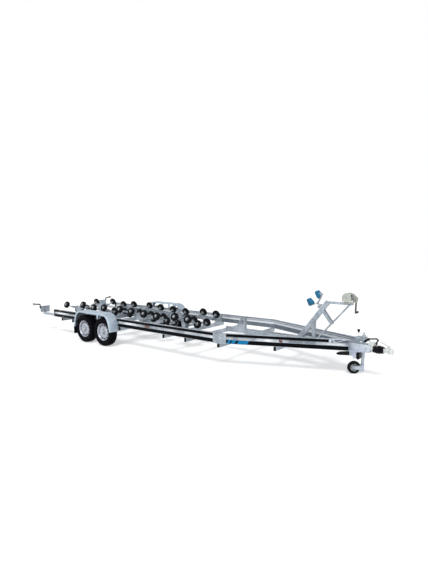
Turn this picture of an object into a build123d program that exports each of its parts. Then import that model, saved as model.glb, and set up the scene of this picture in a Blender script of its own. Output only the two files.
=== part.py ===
from build123d import *
import math
import os

# Tandem-axle boat trailer, standing on its wheels and jockey wheel.
# Millimetres. X runs forward and is measured from the front axle, Y to the left, Z up from the ground.
# Side parts are drawn on the right-hand side (Y below 0) and mirrored to the left.

# ---- wheels and axles
AXLE_SPACING = 683
TYRE_RADIUS = 314.5
TYRE_WIDTH = 195
TYRE_OUTER_Y = 1222
BEAD_RADIUS = 178
RIM_HALF_WIDTH = 70
DRUM_RADIUS = 125
SPINDLE_RADIUS = 20
RUNNING_GAP = 0.08
AXLE_TUBE = 78
ARM_REACH = 140
AXLE_TUBE_Z = 396

# ---- chassis rails, a sheet sigma profile
RAIL_OUTER_Y = 1005
RAIL_BOTTOM = 438
RAIL_HEIGHT = 182
RAIL_FLANGE = 60
RAIL_LIP = 15
RAIL_RECESS = 14
SHEET = 4
RAIL_REAR_X = -2252
BEND_X = 3060
RAIL_FRONT_X = 5082
RAIL_FRONT_Y = 175

# ---- cross-members, open C profiles bolted under the rails
MEMBER_HEIGHT = 78
MEMBER_WIDTH = 45

# ---- spine tubes, drawbar and overrun coupling
SPINE_WIDTH = 50
SPINE_Y = 75
SPINE_HEIGHT = 100
SPINE_FRONT_X = 4780
HEAD_Z = 490
HEAD_REAR_X = 4980
CHEEK_FRONT_X = 5394
BELLOWS_REAR_X = 5420
BELLOWS_FRONT_X = 5600
BELLOWS_RADIUS = 57
NOSE_X = 5735
SOCKET_RADIUS = 25.5
CAST_RADIUS = 41

# ---- tandem mudguards
GUARD_OUTER_Y = 1252.5
GUARD_INNER_Y = 1011
GUARD_TOP_Z = 735
GUARD_SHEET = 3
GUARD_LIP = 40

# ---- tail lamps on sliding arms
ARM_OUTER_Y = -992
ARM_INNER_Y = -956
ARM_Z = 446
ARM_TOP = 506
SLIDE_GAP = 0.3
LAMP_PLATE_X = -2800
TAIL_X = -2860

# ---- hull rollers
ROLLER_RADIUS = 90
ROLLER_WIDTH = 70
ROLLER_SPREAD = 175
ROW_Y = 371
DEADRISE = 24
PIVOT_Z = 510
ROLLER_LIFT = 126
CRADLE_TUBE = 24
ARM_PLATE_Y = 28
# pivot X, X of the cross-member below, pin distances from the pivot, tilt with the front end down (degrees)
CRADLES = [
    (-2100, -1900, (370,), -4.0),
    (-1070, -1070, (210,), -4.0),
    (330, 330, (210, 620), 2.5),
    (1670, 1670, (185,), 3.0),
]

# ---- jockey wheel, swivelled to trail behind and beside its tube
JOCKEY_X = 5215
JOCKEY_Y = 180
JOCKEY_TRAIL = 145
JOCKEY_SWIVEL = 180 + 37.7
JOCKEY_RADIUS = 110.5
JOCKEY_TUBE = 30
JOCKEY_INNER = 25

# ---- winch stand
POST_FOOT = (4147, 538)
POST_HEAD = (4634, 1197)
FORK_TURN = -113
FORK_PIN = 10

MID_X = (NOSE_X + TAIL_X) / 2


# ------------------------------------------------------------------ drawing helpers
def block(x0, x1, y0, y1, z0, z1):
    """A box between two opposite corners."""
    centre = Pos((x0 + x1) / 2, (y0 + y1) / 2, (z0 + z1) / 2)
    return centre * Box(x1 - x0, y1 - y0, z1 - z0)


def rod(start, end, radius):
    """A round bar between two points."""
    a = Vector(*start)
    b = Vector(*end)
    return extrude(Plane(origin=a, z_dir=b - a) * Circle(radius), amount=(b - a).length)


def bar(start, end, width, height):
    """A square-cut bar in a plane of constant Y: width across Y, height in the plane."""
    a = Vector(*start)
    b = Vector(*end)
    plane = Plane(origin=a, x_dir=(0, 1, 0), z_dir=b - a)
    return extrude(plane * Rectangle(width, height), amount=(b - a).length)


def side_plate(points, y0, y1):
    """An outline of (X, Z) points given thickness along Y."""
    face = make_face(Polyline(*[(x, y0, z) for x, z in points], close=True))
    return extrude(face, amount=y1 - y0, dir=(0, 1, 0))


def flat_plate(points, z0, z1):
    """An outline of (X, Y) points given thickness along Z."""
    face = make_face(Polyline(*[(x, y, z0) for x, y in points], close=True))
    return extrude(face, amount=z1 - z0, dir=(0, 0, 1))


def end_plate(points, x0, x1):
    """An outline of (Y, Z) points given thickness along X."""
    face = make_face(Polyline(*[(x0, y, z) for y, z in points], close=True))
    return extrude(face, amount=x1 - x0, dir=(1, 0, 0))


def folded(points, thickness):
    """The outline of a folded sheet: a path and its parallel on the right-hand side."""
    normals = []
    for (ax, ay), (bx, by) in zip(points, points[1:]):
        length = math.hypot(bx - ax, by - ay)
        normals.append(((by - ay) / length, (ax - bx) / length))
    normals = [normals[0]] + normals + [normals[-1]]
    parallel = []
    for (px, py), (nx, ny), (mx, my) in zip(points, normals, normals[1:]):
        scale = thickness / (1 + nx * mx + ny * my)
        parallel.append((px + (nx + mx) * scale, py + (ny + my) * scale))
    return list(points) + parallel[::-1]


def mirrored(shape):
    """The same part on the left-hand side."""
    return mirror(shape, about=Plane.XZ)


def on_both_sides(shape):
    return shape + mirrored(shape)


def wheel_turn(section, centre_y):
    """Revolve a closed (Y, radius) outline about the wheel's axis."""
    face = make_face(section)
    return Pos(0, centre_y, 0) * revolve(face, axis=Axis.Y, revolution_arc=360)


# ------------------------------------------------------------------ chassis
def rail_section():
    """Sigma profile as (distance in from the outer face, height) points."""
    top = RAIL_HEIGHT
    path = [
        (RAIL_FLANGE, RAIL_LIP),
        (RAIL_FLANGE, 0),
        (0, 0),
        (0, 74),
        (RAIL_RECESS, 82),
        (RAIL_RECESS, top - 62),
        (0, top - 54),
        (0, top),
        (RAIL_FLANGE, top),
        (RAIL_FLANGE, top - RAIL_LIP),
    ]
    return folded(path, SHEET)


def rail_between(start, direction, length):
    """The profile run along a level direction, its web on the outside."""
    inward = Vector(-direction.Y, direction.X, 0)
    plane = Plane(origin=start, x_dir=inward, z_dir=direction)
    face = make_face(Polyline(*rail_section(), close=True))
    return extrude(plane * face, amount=length)


BEND = Vector(RAIL_FRONT_X - BEND_X, RAIL_OUTER_Y - RAIL_FRONT_Y, 0)
BEND_DIRECTION = BEND.normalized()
BEND_POINT = Vector(BEND_X, -RAIL_OUTER_Y, RAIL_BOTTOM)
MITRE = Plane(origin=BEND_POINT, z_dir=Vector(1, 0, 0) + BEND_DIRECTION)


def rear_rail():
    start = Vector(RAIL_REAR_X, -RAIL_OUTER_Y, RAIL_BOTTOM)
    rail = rail_between(start, Vector(1, 0, 0), BEND_X - RAIL_REAR_X + 100)
    rail = split(rail, bisect_by=MITRE, keep=Keep.BOTTOM)
    for x in (RAIL_REAR_X + 10, RAIL_REAR_X + 380):
        rail += block(x, x + 50, ARM_OUTER_Y - 3, ARM_INNER_Y, RAIL_BOTTOM + SHEET - 1, ARM_Z - SLIDE_GAP)
        rail += block(x, x + 50, -RAIL_OUTER_Y + SHEET - 1, ARM_OUTER_Y - SLIDE_GAP, RAIL_BOTTOM + SHEET - 1, ARM_Z + 30)
    return rail


def front_rail():
    start = BEND_POINT - BEND_DIRECTION * 100
    rail = rail_between(start, BEND_DIRECTION, BEND.length + 200)
    rail = split(rail, bisect_by=MITRE, keep=Keep.TOP)
    front = Plane(origin=(RAIL_FRONT_X, 0, 0), z_dir=(1, 0, 0))
    return split(rail, bisect_by=front, keep=Keep.BOTTOM)


def bend_plate():
    """Outer splice plate folded round the bend, the full height of the rail."""
    reach = 130
    end = BEND_POINT + BEND_DIRECTION * reach
    path = [(BEND_X - reach, -RAIL_OUTER_Y), (BEND_X, -RAIL_OUTER_Y), (end.X, end.Y)]
    return flat_plate(folded(path, 6), RAIL_BOTTOM - 4, RAIL_BOTTOM + RAIL_HEIGHT + 1)


def cross_member(x, half_width):
    """C profile under the rails, its web to the front and its open side to the rear."""
    low = RAIL_BOTTOM - MEMBER_HEIGHT
    path = [(x, low), (x + MEMBER_WIDTH, low), (x + MEMBER_WIDTH, RAIL_BOTTOM), (x, RAIL_BOTTOM)]
    return side_plate(folded(path, -SHEET), -half_width, half_width)


def pivot_ear(member_x, pivot_x, y):
    """Plate standing on a cross-member, bored for the cross tube of its cradle."""
    foot, head, half_thick, eye = 70, 32, 5, 38
    ear = side_plate([(member_x + foot, RAIL_BOTTOM), (member_x - foot, RAIL_BOTTOM),
                      (pivot_x - head, PIVOT_Z - 20), (pivot_x - head, PIVOT_Z + 20),
                      (pivot_x + head, PIVOT_Z + 20)], y - half_thick, y + half_thick)
    ear += rod((pivot_x, y - half_thick, PIVOT_Z), (pivot_x, y + half_thick, PIVOT_Z), eye)
    return ear - rod((pivot_x, y - 6, PIVOT_Z), (pivot_x, y + 6, PIVOT_Z), CRADLE_TUBE + RUNNING_GAP)


def rail_gusset(x, x_thick, rail_inner, reach):
    """Upright plate in the corner between a cross-member and the rail, with a slot and a hole."""
    top = RAIL_BOTTOM + RAIL_HEIGHT - 22
    outline = [(-rail_inner, RAIL_BOTTOM), (-rail_inner, top), (-rail_inner + 60, top),
               (-rail_inner + reach, RAIL_BOTTOM + 30), (-rail_inner + reach, RAIL_BOTTOM)]
    plate = end_plate(outline, x, x + x_thick)
    plate -= Pos(x + x_thick / 2, -rail_inner + 45, RAIL_BOTTOM + 120) * Rot(0, 90, 0) * Cylinder(13, 40)
    plate -= Pos(x + x_thick / 2, -rail_inner + 150, RAIL_BOTTOM + 58) * Box(40, 60, 16)
    return plate


def rail_outer_at(x):
    """Distance of the converging rail's outer face from the centre line."""
    return RAIL_OUTER_Y - (x - BEND_X) * BEND.Y / BEND.X


def cradle_member(index):
    """Cross-member that carries one roller cradle between two ears."""
    pivot_x, member_x = CRADLES[index][:2]
    x = member_x - MEMBER_WIDTH / 2
    member = cross_member(x, RAIL_OUTER_Y - 5)
    gusset = rail_gusset(x + MEMBER_WIDTH - 6, 6, RAIL_OUTER_Y - RAIL_FLANGE, 300)
    return member + on_both_sides(gusset + pivot_ear(member_x, pivot_x, -EAR_Y))


def plain_member(x):
    member = cross_member(x, RAIL_OUTER_Y - 5)
    gusset = rail_gusset(x + MEMBER_WIDTH - 6, 6, RAIL_OUTER_Y - RAIL_FLANGE, 220)
    return member + on_both_sides(gusset)


def spine():
    """Two tubes along the centre of the drawbar and the keel bracket standing on them."""
    tubes = None
    top = RAIL_BOTTOM + SPINE_HEIGHT
    for y, rear_x in ((SPINE_Y, 2450), (-SPINE_Y, 3020)):
        outer = block(rear_x, SPINE_FRONT_X, y - SPINE_WIDTH / 2, y + SPINE_WIDTH / 2, RAIL_BOTTOM, top)
        inner = block(rear_x - 1, SPINE_FRONT_X + 1, y - SPINE_WIDTH / 2 + 5, y + SPINE_WIDTH / 2 - 5,
                      RAIL_BOTTOM + 5, top - 5)
        tube = outer - inner
        tubes = tube if tubes is None else tubes + tube
    x0, x1, near, far, head = 2880, 2922, SPINE_Y - 31, SPINE_Y + 31, 770
    bracket = block(x0, x1, near, near + 6, RAIL_BOTTOM + 8, head)
    bracket += block(x0, x1, far - 6, far, RAIL_BOTTOM + 8, head)
    bracket += block(x0, x1, near, far, head - 6, head)
    bracket += block(x0, x1, near, far, top, top + 6)
    web = block(3100, 3106, -SPINE_Y + SPINE_WIDTH / 2, SPINE_Y - SPINE_WIDTH / 2, RAIL_BOTTOM + 10, top - 10)
    foot = block(4650, 4656, -SPINE_Y + SPINE_WIDTH / 2, SPINE_Y - SPINE_WIDTH / 2, RAIL_BOTTOM + 10, top - 10)
    return tubes + bracket + web + foot


# ------------------------------------------------------------------ drawbar and coupling
def drawbar_plates():
    """Top plate folded over both rails, bottom plate and the two cheeks that hold the coupling."""
    top = RAIL_BOTTOM + RAIL_HEIGHT
    rear, front = 4700, RAIL_FRONT_X + 10
    wide, narrow = rail_outer_at(rear), rail_outer_at(front)
    cap = flat_plate([(rear, -wide), (front, -narrow), (front, narrow), (rear, wide),
                      (rear, wide - 80), (rear + 190, 40), (rear + 190, -40), (rear, -wide + 80)],
                     top, top + 5)
    flap = flat_plate(folded([(rear, -wide), (front, -narrow)], 5), top - 52, top + 5)
    flap -= side_plate([(rear - 10, top - 60), (rear + 90, top - 60), (rear - 10, top - 8)], -wide - 20, 0)
    flap -= side_plate([(front + 10, top - 60), (front - 190, top - 60), (front + 10, top - 14)], -wide, 0)
    cap += on_both_sides(flap)
    low = RAIL_BOTTOM - 6
    base = flat_plate([(4640, -290), (4700, -290), (RAIL_FRONT_X, -150), (CHEEK_FRONT_X, -80),
                       (CHEEK_FRONT_X, 80), (RAIL_FRONT_X, 150), (4700, 290), (4640, 290)], low, RAIL_BOTTOM)
    cheek = side_plate([(4800, RAIL_BOTTOM), (CHEEK_FRONT_X, RAIL_BOTTOM), (CHEEK_FRONT_X, 545), (5340, 556),
                        (4860, 556), (4800, 500)], -72, -64)
    return cap, base + on_both_sides(cheek)


def overrun_housing():
    """Tubular casting bolted between the cheeks, with the handbrake's toothed quadrant on top."""
    body = rod((HEAD_REAR_X, 0, HEAD_Z), (BELLOWS_REAR_X, 0, HEAD_Z), 48)
    for x in (5040, 5330):
        body += block(x - 22, x + 22, -64, 64, HEAD_Z - 26, HEAD_Z + 26)
    body += rod((BELLOWS_REAR_X - 22, 0, HEAD_Z), (BELLOWS_REAR_X, 0, HEAD_Z), 56)
    body += side_plate([(5330, 500), (5420, 500), (5500, 552), (5500, 596), (5440, 616), (5372, 612),
                        (5345, 560)], HANDBRAKE_Y + 12, HANDBRAKE_Y + 22)
    pin_hole = 8 + RUNNING_GAP
    body -= rod((HANDBRAKE_X, HANDBRAKE_Y, HANDBRAKE_Z), (HANDBRAKE_X, 0, HANDBRAKE_Z), pin_hole)
    cut = rod((BELLOWS_REAR_X, 0, HEAD_Z), (5500, 0, HEAD_Z), BELLOWS_RADIUS + 0.5)
    return body - cut


def bellows():
    """Ribbed rubber gaiter over the sliding draw tube."""
    ribs = 7
    pitch = (BELLOWS_FRONT_X - BELLOWS_REAR_X) / ribs
    outline = [(BELLOWS_REAR_X, 0)]
    for rib in range(ribs):
        x = BELLOWS_REAR_X + rib * pitch
        outline += [(x, 40), (x + pitch * 0.35, BELLOWS_RADIUS), (x + pitch * 0.65, BELLOWS_RADIUS)]
    outline += [(BELLOWS_FRONT_X, 40), (BELLOWS_FRONT_X, 0)]
    face = make_face(Polyline(*[(x, 0, z) for x, z in outline], close=True))
    return Pos(0, 0, HEAD_Z) * revolve(face, axis=Axis.X, revolution_arc=360)


def coupling_head():
    """Cast ball coupling: shank, dome with its ball socket and the ears of the handle."""
    ball_x = NOSE_X - CAST_RADIUS
    shank = rod((BELLOWS_FRONT_X, 0, HEAD_Z), (ball_x, 0, HEAD_Z), 32)
    dome = Pos(ball_x, 0, HEAD_Z - 16) * Cylinder(CAST_RADIUS, 58)
    dome += Pos(ball_x, 0, HEAD_Z + 13) * scale(Sphere(CAST_RADIUS), (1, 1, 0.55))
    head = shank + dome
    head += block(BELLOWS_FRONT_X, BELLOWS_FRONT_X + 14, -44, 44, HEAD_Z - 40, HEAD_Z + 30)
    for y in (-22, 14):
        head += side_plate([(5618, 500), (5690, 500), (5672, 566), (5640, 566)], y, y + 8)
    head -= Pos(ball_x, 0, HEAD_Z - 34) * Cylinder(SOCKET_RADIUS, 24)
    head -= Pos(ball_x, 0, HEAD_Z - 22) * Sphere(SOCKET_RADIUS)
    head -= rod((5655, -40, 552), (5655, 40, 552), 5 + RUNNING_GAP)
    return head


def coupling_handle():
    """Bent release handle on its cross pin."""
    handle = bar((5655, 0, 552), (5600, 0, 590), 22, 14)
    handle += bar((5600, 0, 590), (5530, 0, 618), 30, 12)
    handle += rod((5655, -22, 552), (5655, 22, 552), 5)
    handle += rod((5655, -11, 552), (5655, 11, 552), 11)
    return handle


HANDBRAKE_X = 5468
HANDBRAKE_Y = -38
HANDBRAKE_Z = 575


def handbrake_lever():
    """Bent lever beside the quadrant, its grip reaching back over the cheeks."""
    y = HANDBRAKE_Y
    points = [(HANDBRAKE_X, HANDBRAKE_Z), (5505, 650), (5475, 668), (5362, 652), (5300, 606)]
    lever = rod((HANDBRAKE_X, y - 7, HANDBRAKE_Z), (HANDBRAKE_X, y + 7, HANDBRAKE_Z), 22)
    for (ax, az), (bx, bz) in zip(points, points[1:]):
        lever += bar((ax, y, az), (bx, y, bz), 14, 22)
        lever += rod((bx, y - 7, bz), (bx, y + 7, bz), 11)
    lever += rod((HANDBRAKE_X, y, HANDBRAKE_Z), (HANDBRAKE_X, y + 26, HANDBRAKE_Z), 8)
    lever += bar((5355, y, 648), (5300, y, 606), 26, 26)
    return lever


# ------------------------------------------------------------------ running gear
WHEEL_Y = TYRE_OUTER_Y - TYRE_WIDTH / 2


def tyre(x, side):
    """Closed tyre body: beads, bulging sidewalls and a slightly crowned tread."""
    half = TYRE_WIDTH / 2
    bead = RIM_HALF_WIDTH - 0.6
    tread = TYRE_RADIUS - 6
    outline = (
        Line((-bead, BEAD_RADIUS + 0.3), (bead, BEAD_RADIUS + 0.3))
        + Line((bead, BEAD_RADIUS + 0.3), (bead, 193))
        + ThreePointArc((bead, 193), (half, 246), (half - 14, 296))
        + ThreePointArc((half - 14, 296), (half - 19, 304), (half - 28, tread))
        + ThreePointArc((half - 28, tread), (0, TYRE_RADIUS), (28 - half, tread))
        + ThreePointArc((28 - half, tread), (19 - half, 304), (14 - half, 296))
        + ThreePointArc((14 - half, 296), (-half, 246), (-bead, 193))
        + Line((-bead, 193), (-bead, BEAD_RADIUS + 0.3))
    )
    return Pos(x, 0, TYRE_RADIUS) * wheel_turn(rotated_section(outline), side * WHEEL_Y)


def rotated_section(outline):
    """Sections are drawn as (Y, radius) and stood up in the plane X = 0."""
    return Plane.YZ * outline


def rim(x, side):
    """Steel wheel with brake drum and hub: barrel, slotted disc, blind bore for the spindle."""
    bore = SPINDLE_RADIUS + RUNNING_GAP
    width = RIM_HALF_WIDTH
    section = [
        (width + 6, 190), (width + 0.3, 190), (width + 0.3, BEAD_RADIUS), (-width - 0.3, BEAD_RADIUS),
        (-width - 0.3, 190), (-width - 6, 190), (-width - 6, 171), (34, 171), (44, 146), (40, DRUM_RADIUS),
        (-74, DRUM_RADIUS), (-74, bore), (58, bore), (58, 0), (90, 0), (90, 36), (62, 46), (56, 62),
        (50, 96), (56, 128), (52, 150), (42, 171), (width + 6, 171),
    ]
    section = [(side * y, r) for y, r in section]
    outline = Polyline(*section, close=True)
    wheel = wheel_turn(rotated_section(outline), 0)
    slots = 10
    for slot in range(slots):
        turn = Rot(0, slot * 360 / slots, 0)
        wheel -= turn * Pos(0, side * 46, 150) * Box(40, 40, 16)
    return Pos(x, side * WHEEL_Y, TYRE_RADIUS) * wheel


def axle(x):
    """Rubber-sprung axle: square tube, saddles under the rails, trailing arms and spindles."""
    tube_x = x + ARM_REACH
    half = AXLE_TUBE / 2
    beam = block(tube_x - half, tube_x + half, -975, 975, AXLE_TUBE_Z - half, AXLE_TUBE_Z + half)
    saddle = block(tube_x - 80, tube_x + 80, -995, -930, AXLE_TUBE_Z + half, RAIL_BOTTOM)
    saddle += side_plate([(tube_x - 60, RAIL_BOTTOM), (tube_x + 60, RAIL_BOTTOM),
                          (tube_x + 50, AXLE_TUBE_Z - 20), (tube_x - 50, AXLE_TUBE_Z - 20)], -936, -930)
    arm = side_plate(arm_outline(x, tube_x), -1014, -982)
    stub = rod((tube_x, -982, AXLE_TUBE_Z), (tube_x, -970, AXLE_TUBE_Z), 30)
    stub += rod((x, -1034, TYRE_RADIUS), (x, -1005, TYRE_RADIUS), 34)
    stub += rod((x, -WHEEL_Y - 54, TYRE_RADIUS), (x, -1030, TYRE_RADIUS), SPINDLE_RADIUS)
    shield = rod((x, -1042, TYRE_RADIUS), (x, -1030, TYRE_RADIUS), 119)
    return beam + on_both_sides(saddle + arm + stub + shield)


def arm_outline(x, tube_x):
    """Trailing arm, broad at the tube and tapering to the spindle."""
    z0, z1 = TYRE_RADIUS, AXLE_TUBE_Z
    return [(x - 34, z0 - 22), (x + 20, z0 - 36), (tube_x + 34, z1 - 36), (tube_x + 42, z1),
            (tube_x + 28, z1 + 34), (tube_x - 30, z1 + 34), (x - 24, z0 + 30)]


def guard_path():
    """Tandem mudguard seen from the side, from its rear foot over the flat top to its front foot."""
    middle = -AXLE_SPACING / 2
    half = [(668, 348), (659, 420), (626, 560), (560, 680), (455, GUARD_TOP_Z)]
    return [(middle - x, z) for x, z in half] + [(middle + x, z) for x, z in half[::-1]]


def mudguard():
    """Sheet guard over both wheels with an outer lip, end brackets and a stay between the tyres."""
    path = guard_path()
    guard = side_plate(folded(path, GUARD_SHEET), -GUARD_OUTER_Y, -GUARD_INNER_Y)
    guard += side_plate(folded(path, GUARD_LIP), -GUARD_OUTER_Y, -GUARD_OUTER_Y + GUARD_SHEET)
    guard += side_plate(folded(path, 18), -GUARD_INNER_Y - GUARD_SHEET, -GUARD_INNER_Y)
    top = GUARD_TOP_Z - GUARD_SHEET
    middle = -AXLE_SPACING / 2
    for x in (middle - 440, middle, middle + 440):
        guard += block(x - 25, x + 25, -GUARD_INNER_Y, -RAIL_OUTER_Y, 560, top)
    guard += block(middle - 20, middle + 20, -GUARD_OUTER_Y + 2, -GUARD_INNER_Y, 640, 646)
    guard += block(middle - 20, middle + 20, -GUARD_OUTER_Y + 2, -GUARD_OUTER_Y + 8, 600, top)
    return guard + mud_flap()


def mud_flap():
    """Flap hanging from the rear foot of the guard."""
    foot_x, foot_z = guard_path()[0]
    outline = [(foot_x - 6, 178), (foot_x, 178), (foot_x + 1.5, foot_z - 8), (foot_x + 7, foot_z + 44),
               (foot_x - 1, foot_z + 44), (foot_x - 6, foot_z)]
    return side_plate(outline, -GUARD_OUTER_Y + 4, -GUARD_INNER_Y - 4)


# ------------------------------------------------------------------ tail lamps
def lamp_carrier():
    """Arm that slides inside the rail, with an upright bracket and the lamp plate."""
    x, sheet = LAMP_PLATE_X, 4
    arm = block(x, -1750, ARM_OUTER_Y, ARM_INNER_Y, ARM_Z, ARM_TOP)
    arm -= block(x - 1, -1749, ARM_OUTER_Y + 3, ARM_INNER_Y - 3, ARM_Z + 3, ARM_TOP - 3)
    plate = block(x, x + sheet, -1045, -800, 500, 668)
    plate += block(x, x + 30, -1045, -800, 668 - sheet, 668)
    plate += block(x, x + 60, ARM_OUTER_Y, ARM_OUTER_Y + sheet, ARM_Z, 600)
    plate += block(x, x + 60, ARM_INNER_Y - sheet, ARM_INNER_Y, ARM_TOP, 600)
    plate += block(x, x + sheet, ARM_OUTER_Y, ARM_INNER_Y, ARM_Z, 520)
    return arm + plate


def tail_lamp():
    """Lamp cluster behind the plate and the width marker on its bent rubber stalk."""
    body = block(TAIL_X + 12, LAMP_PLATE_X, -1035, -810, 515, 655)
    lens = block(TAIL_X, TAIL_X + 12, -1030, -815, 520, 650)
    x, bend_y, tip_y = LAMP_PLATE_X - 20, -1054, -1217
    stalk = rod((x, -1030, 640), (x, bend_y, 640), 12)
    stalk += rod((x, bend_y, 598), (x, bend_y, 722), 13)
    stalk += rod((x, bend_y, 712), (x, tip_y + 12, 726), 11)
    marker = rod((x - 30, tip_y, 728), (x + 30, tip_y, 728), 29)
    return body + lens + stalk + marker


# ------------------------------------------------------------------ roller cradles
EAR_Y = 300
AXLE_PIN = 11


def cradle_place(index):
    """Where a cradle's own frame sits: its pivot axis, tilted to its stop."""
    return Pos(CRADLES[index][0], 0, PIVOT_Z) * Rot(0, CRADLES[index][3], 0)


def side_place(side):
    """The lean of one roller row across the hull: the outer roller stands higher."""
    return Pos(0, side * ROW_Y, 0) * Rot(side * DEADRISE, 0, 0)


def pin_spots(index):
    """X of every roller pin of a cradle, before and behind its pivot."""
    return [sign * reach for reach in CRADLES[index][2] for sign in (-1, 1)]


def cradle_frame(index):
    """Cross tube in its pivots with a long arm each side and the roller pins at the arm ends."""
    half = max(CRADLES[index][2])
    tube_end = ROW_Y + ARM_PLATE_Y + 4
    pin_end = ROLLER_SPREAD + 48
    lift = ROLLER_LIFT
    frame = rod((0, -tube_end, 0), (0, tube_end, 0), CRADLE_TUBE)
    for side in (-1, 1):
        arm = side_plate(arm_shape(half), -ARM_PLATE_Y, 6 - ARM_PLATE_Y)
        arm += side_plate(arm_shape(half), ARM_PLATE_Y - 6, ARM_PLATE_Y)
        arm += block(-half * 0.55, half * 0.55, -ARM_PLATE_Y, ARM_PLATE_Y, lift - 34, lift - 28)
        for x in pin_spots(index):
            arm += rod((x, -pin_end, lift), (x, pin_end, lift), AXLE_PIN)
            for y in (2 - pin_end, pin_end - 8):
                arm += rod((x, y, lift), (x, y + 6, lift), 22)
        frame += side_place(side) * arm
    for y in (-EAR_Y, EAR_Y):
        for edge in (-16, 16):
            frame += rod((0, y + edge - 3, 0), (0, y + edge + 3, 0), 32)
    return cradle_place(index) * frame


def arm_shape(half):
    """Cradle arm from the side: deep over the pivot, shallow at the ends."""
    lift = ROLLER_LIFT
    return [(-half - 22, lift - 16), (-half - 22, lift + 16), (-half + 30, lift + 20), (half - 30, lift + 20),
            (half + 22, lift + 16), (half + 22, lift - 16), (half * 0.55, lift - 34), (34, -26), (-34, -26),
            (-half * 0.55, lift - 34)]


def cradle_rollers(index):
    """Rubber rollers with rounded shoulders on the cradle's pins."""
    rollers = []
    section = Polyline((-35, AXLE_PIN), (-35, 74), (-24, ROLLER_RADIUS), (24, ROLLER_RADIUS), (35, 74),
                       (35, AXLE_PIN), close=True)
    one = wheel_turn(rotated_section(section), 0)
    for side in (-1, 1):
        for x in pin_spots(index):
            for y in (-ROLLER_SPREAD, ROLLER_SPREAD):
                rollers.append(cradle_place(index) * side_place(side) * Pos(x, y, ROLLER_LIFT) * one)
    return Compound(children=[roller.solid() for roller in rollers])


# ------------------------------------------------------------------ winch stand
def winch_stand():
    """Leaning post, level head beam, stay, upright and the bow-stop arm that crosses them."""
    foot = (POST_FOOT[0], 0, POST_FOOT[1])
    head = (POST_HEAD[0], 0, POST_HEAD[1])
    stand = bar((foot[0] - 18, 0, foot[2] - 24), head, 60, 80)
    stand += block(POST_HEAD[0] - 45, 5060, -35, 35, 1172, 1208)
    stand += rod((4480, 0, 560), (5012, 0, 1180), 15)
    stand += block(4374, 4426, -26, 26, 546, 880)
    below = block(3900, 4700, -200, 200, 300, 538)
    stand -= below
    stand += block(4050, 4570, -100, 100, 538, 546)
    for y in (-37, 30):
        stand += bar((4722, y + 3.5, 834), (4502, y + 3.5, 1117), 7, 52)
    stand += rod((4726, -37, 830), (4726, 37, 830), 12)
    stand += fork_plane() * Pos(0, 0, -55) * Box(60, 74, 40)
    stand += fork_plane() * Pos(0, 0, -18) * Cylinder(17, 36)
    stand += fork_plane() * Pos(0, 0, 8) * Cylinder(FORK_PIN, 18)
    return stand


FORK_CENTRE = Vector(4457, 0, 1160)
FORK_STEM = Vector(-0.614, 0, 0.789)


def fork_plane():
    """Local frame of the bow stop: its Z along the stem."""
    return Plane(origin=FORK_CENTRE, x_dir=(0, 1, 0), z_dir=FORK_STEM)


def fork_place():
    return fork_plane().location * Rot(0, 0, FORK_TURN)


def bow_fork():
    """Swivelling yoke with two arms, each ending in an upturned pad carrier."""
    yoke = Pos(0, 0, 9) * Cylinder(27, 16)
    reach, width = 205, 46
    for side in (-1, 1):
        yoke += Pos(side * reach / 2, 0, 9) * Box(reach, width, 12)
        yoke += Pos(side * (reach - 4), 0, 39) * Box(8, width, 72)
    yoke -= Pos(0, 0, 9) * Cylinder(FORK_PIN + RUNNING_GAP, 20)
    return fork_place() * yoke


def bow_pads():
    """Soft blocks that the stem of the hull rests between, their faces opening like a V."""
    pads = []
    for side in (-1, 1):
        outline = Polyline((side * 112, 15.2), (side * 196.7, 15.2), (side * 196.7, 166), (side * 178, 180),
                           (side * 142, 170), (side * 104, 70), close=True)
        pad = extrude(Plane.XZ * make_face(outline), amount=38, both=True)
        pads.append(fork_place() * pad)
    return Compound(children=[pad.solid() for pad in pads])


DRUM_X = 4980
DRUM_Z = 1300
CRANK_X = 5072
CRANK_Z = 1252


def winch_frame():
    """Two rounded cheeks on a base with an open foot, the gear cover and the crank's bearing."""
    base = block(4905, 5060, -98, 98, 1208, 1214)
    cheek = side_plate([(4905, 1208), (4925, 1208), (4925, 1240), (5020, 1240), (5020, 1208), (5060, 1208),
                        (5060, 1300), (4905, 1300)], -98, -93)
    cheek += rod((DRUM_X, -98, DRUM_Z), (DRUM_X, -93, DRUM_Z), 75)
    far = side_plate([(4905, 1208), (4925, 1208), (4925, 1246), (5035, 1246), (5035, 1208), (5110, 1208),
                      (5122, 1290), (5060, 1330), (4905, 1330)], 60, 65)
    far += rod((DRUM_X, 60, DRUM_Z), (DRUM_X, 65, DRUM_Z), 75)
    cover = side_plate([(4930, 1246), (5040, 1246), (5046, 1222), (5105, 1222), (5116, 1286), (5040, 1356),
                        (4930, 1352)], 65, 98)
    frame = base + cheek + far + cover
    frame += rod((DRUM_X, -93, DRUM_Z), (DRUM_X, 60, DRUM_Z), 12)
    for x, z in ((5040, 1300), (4920, 1290)):
        frame += rod((x, -93, z), (x, 60, z), 6)
    frame -= rod((CRANK_X, 50, CRANK_Z), (CRANK_X, 110, CRANK_Z), 9 + RUNNING_GAP)
    return frame


def winch_drum():
    """Strap spool: core and two flanges turning on the fixed shaft."""
    drum = rod((DRUM_X, -84, DRUM_Z), (DRUM_X, 52, DRUM_Z), 30)
    for y in (-84, 46):
        drum += rod((DRUM_X, y, DRUM_Z), (DRUM_X, y + 6, DRUM_Z), 54)
    return drum - rod((DRUM_X, -90, DRUM_Z), (DRUM_X, 60, DRUM_Z), 12 + RUNNING_GAP)


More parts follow.
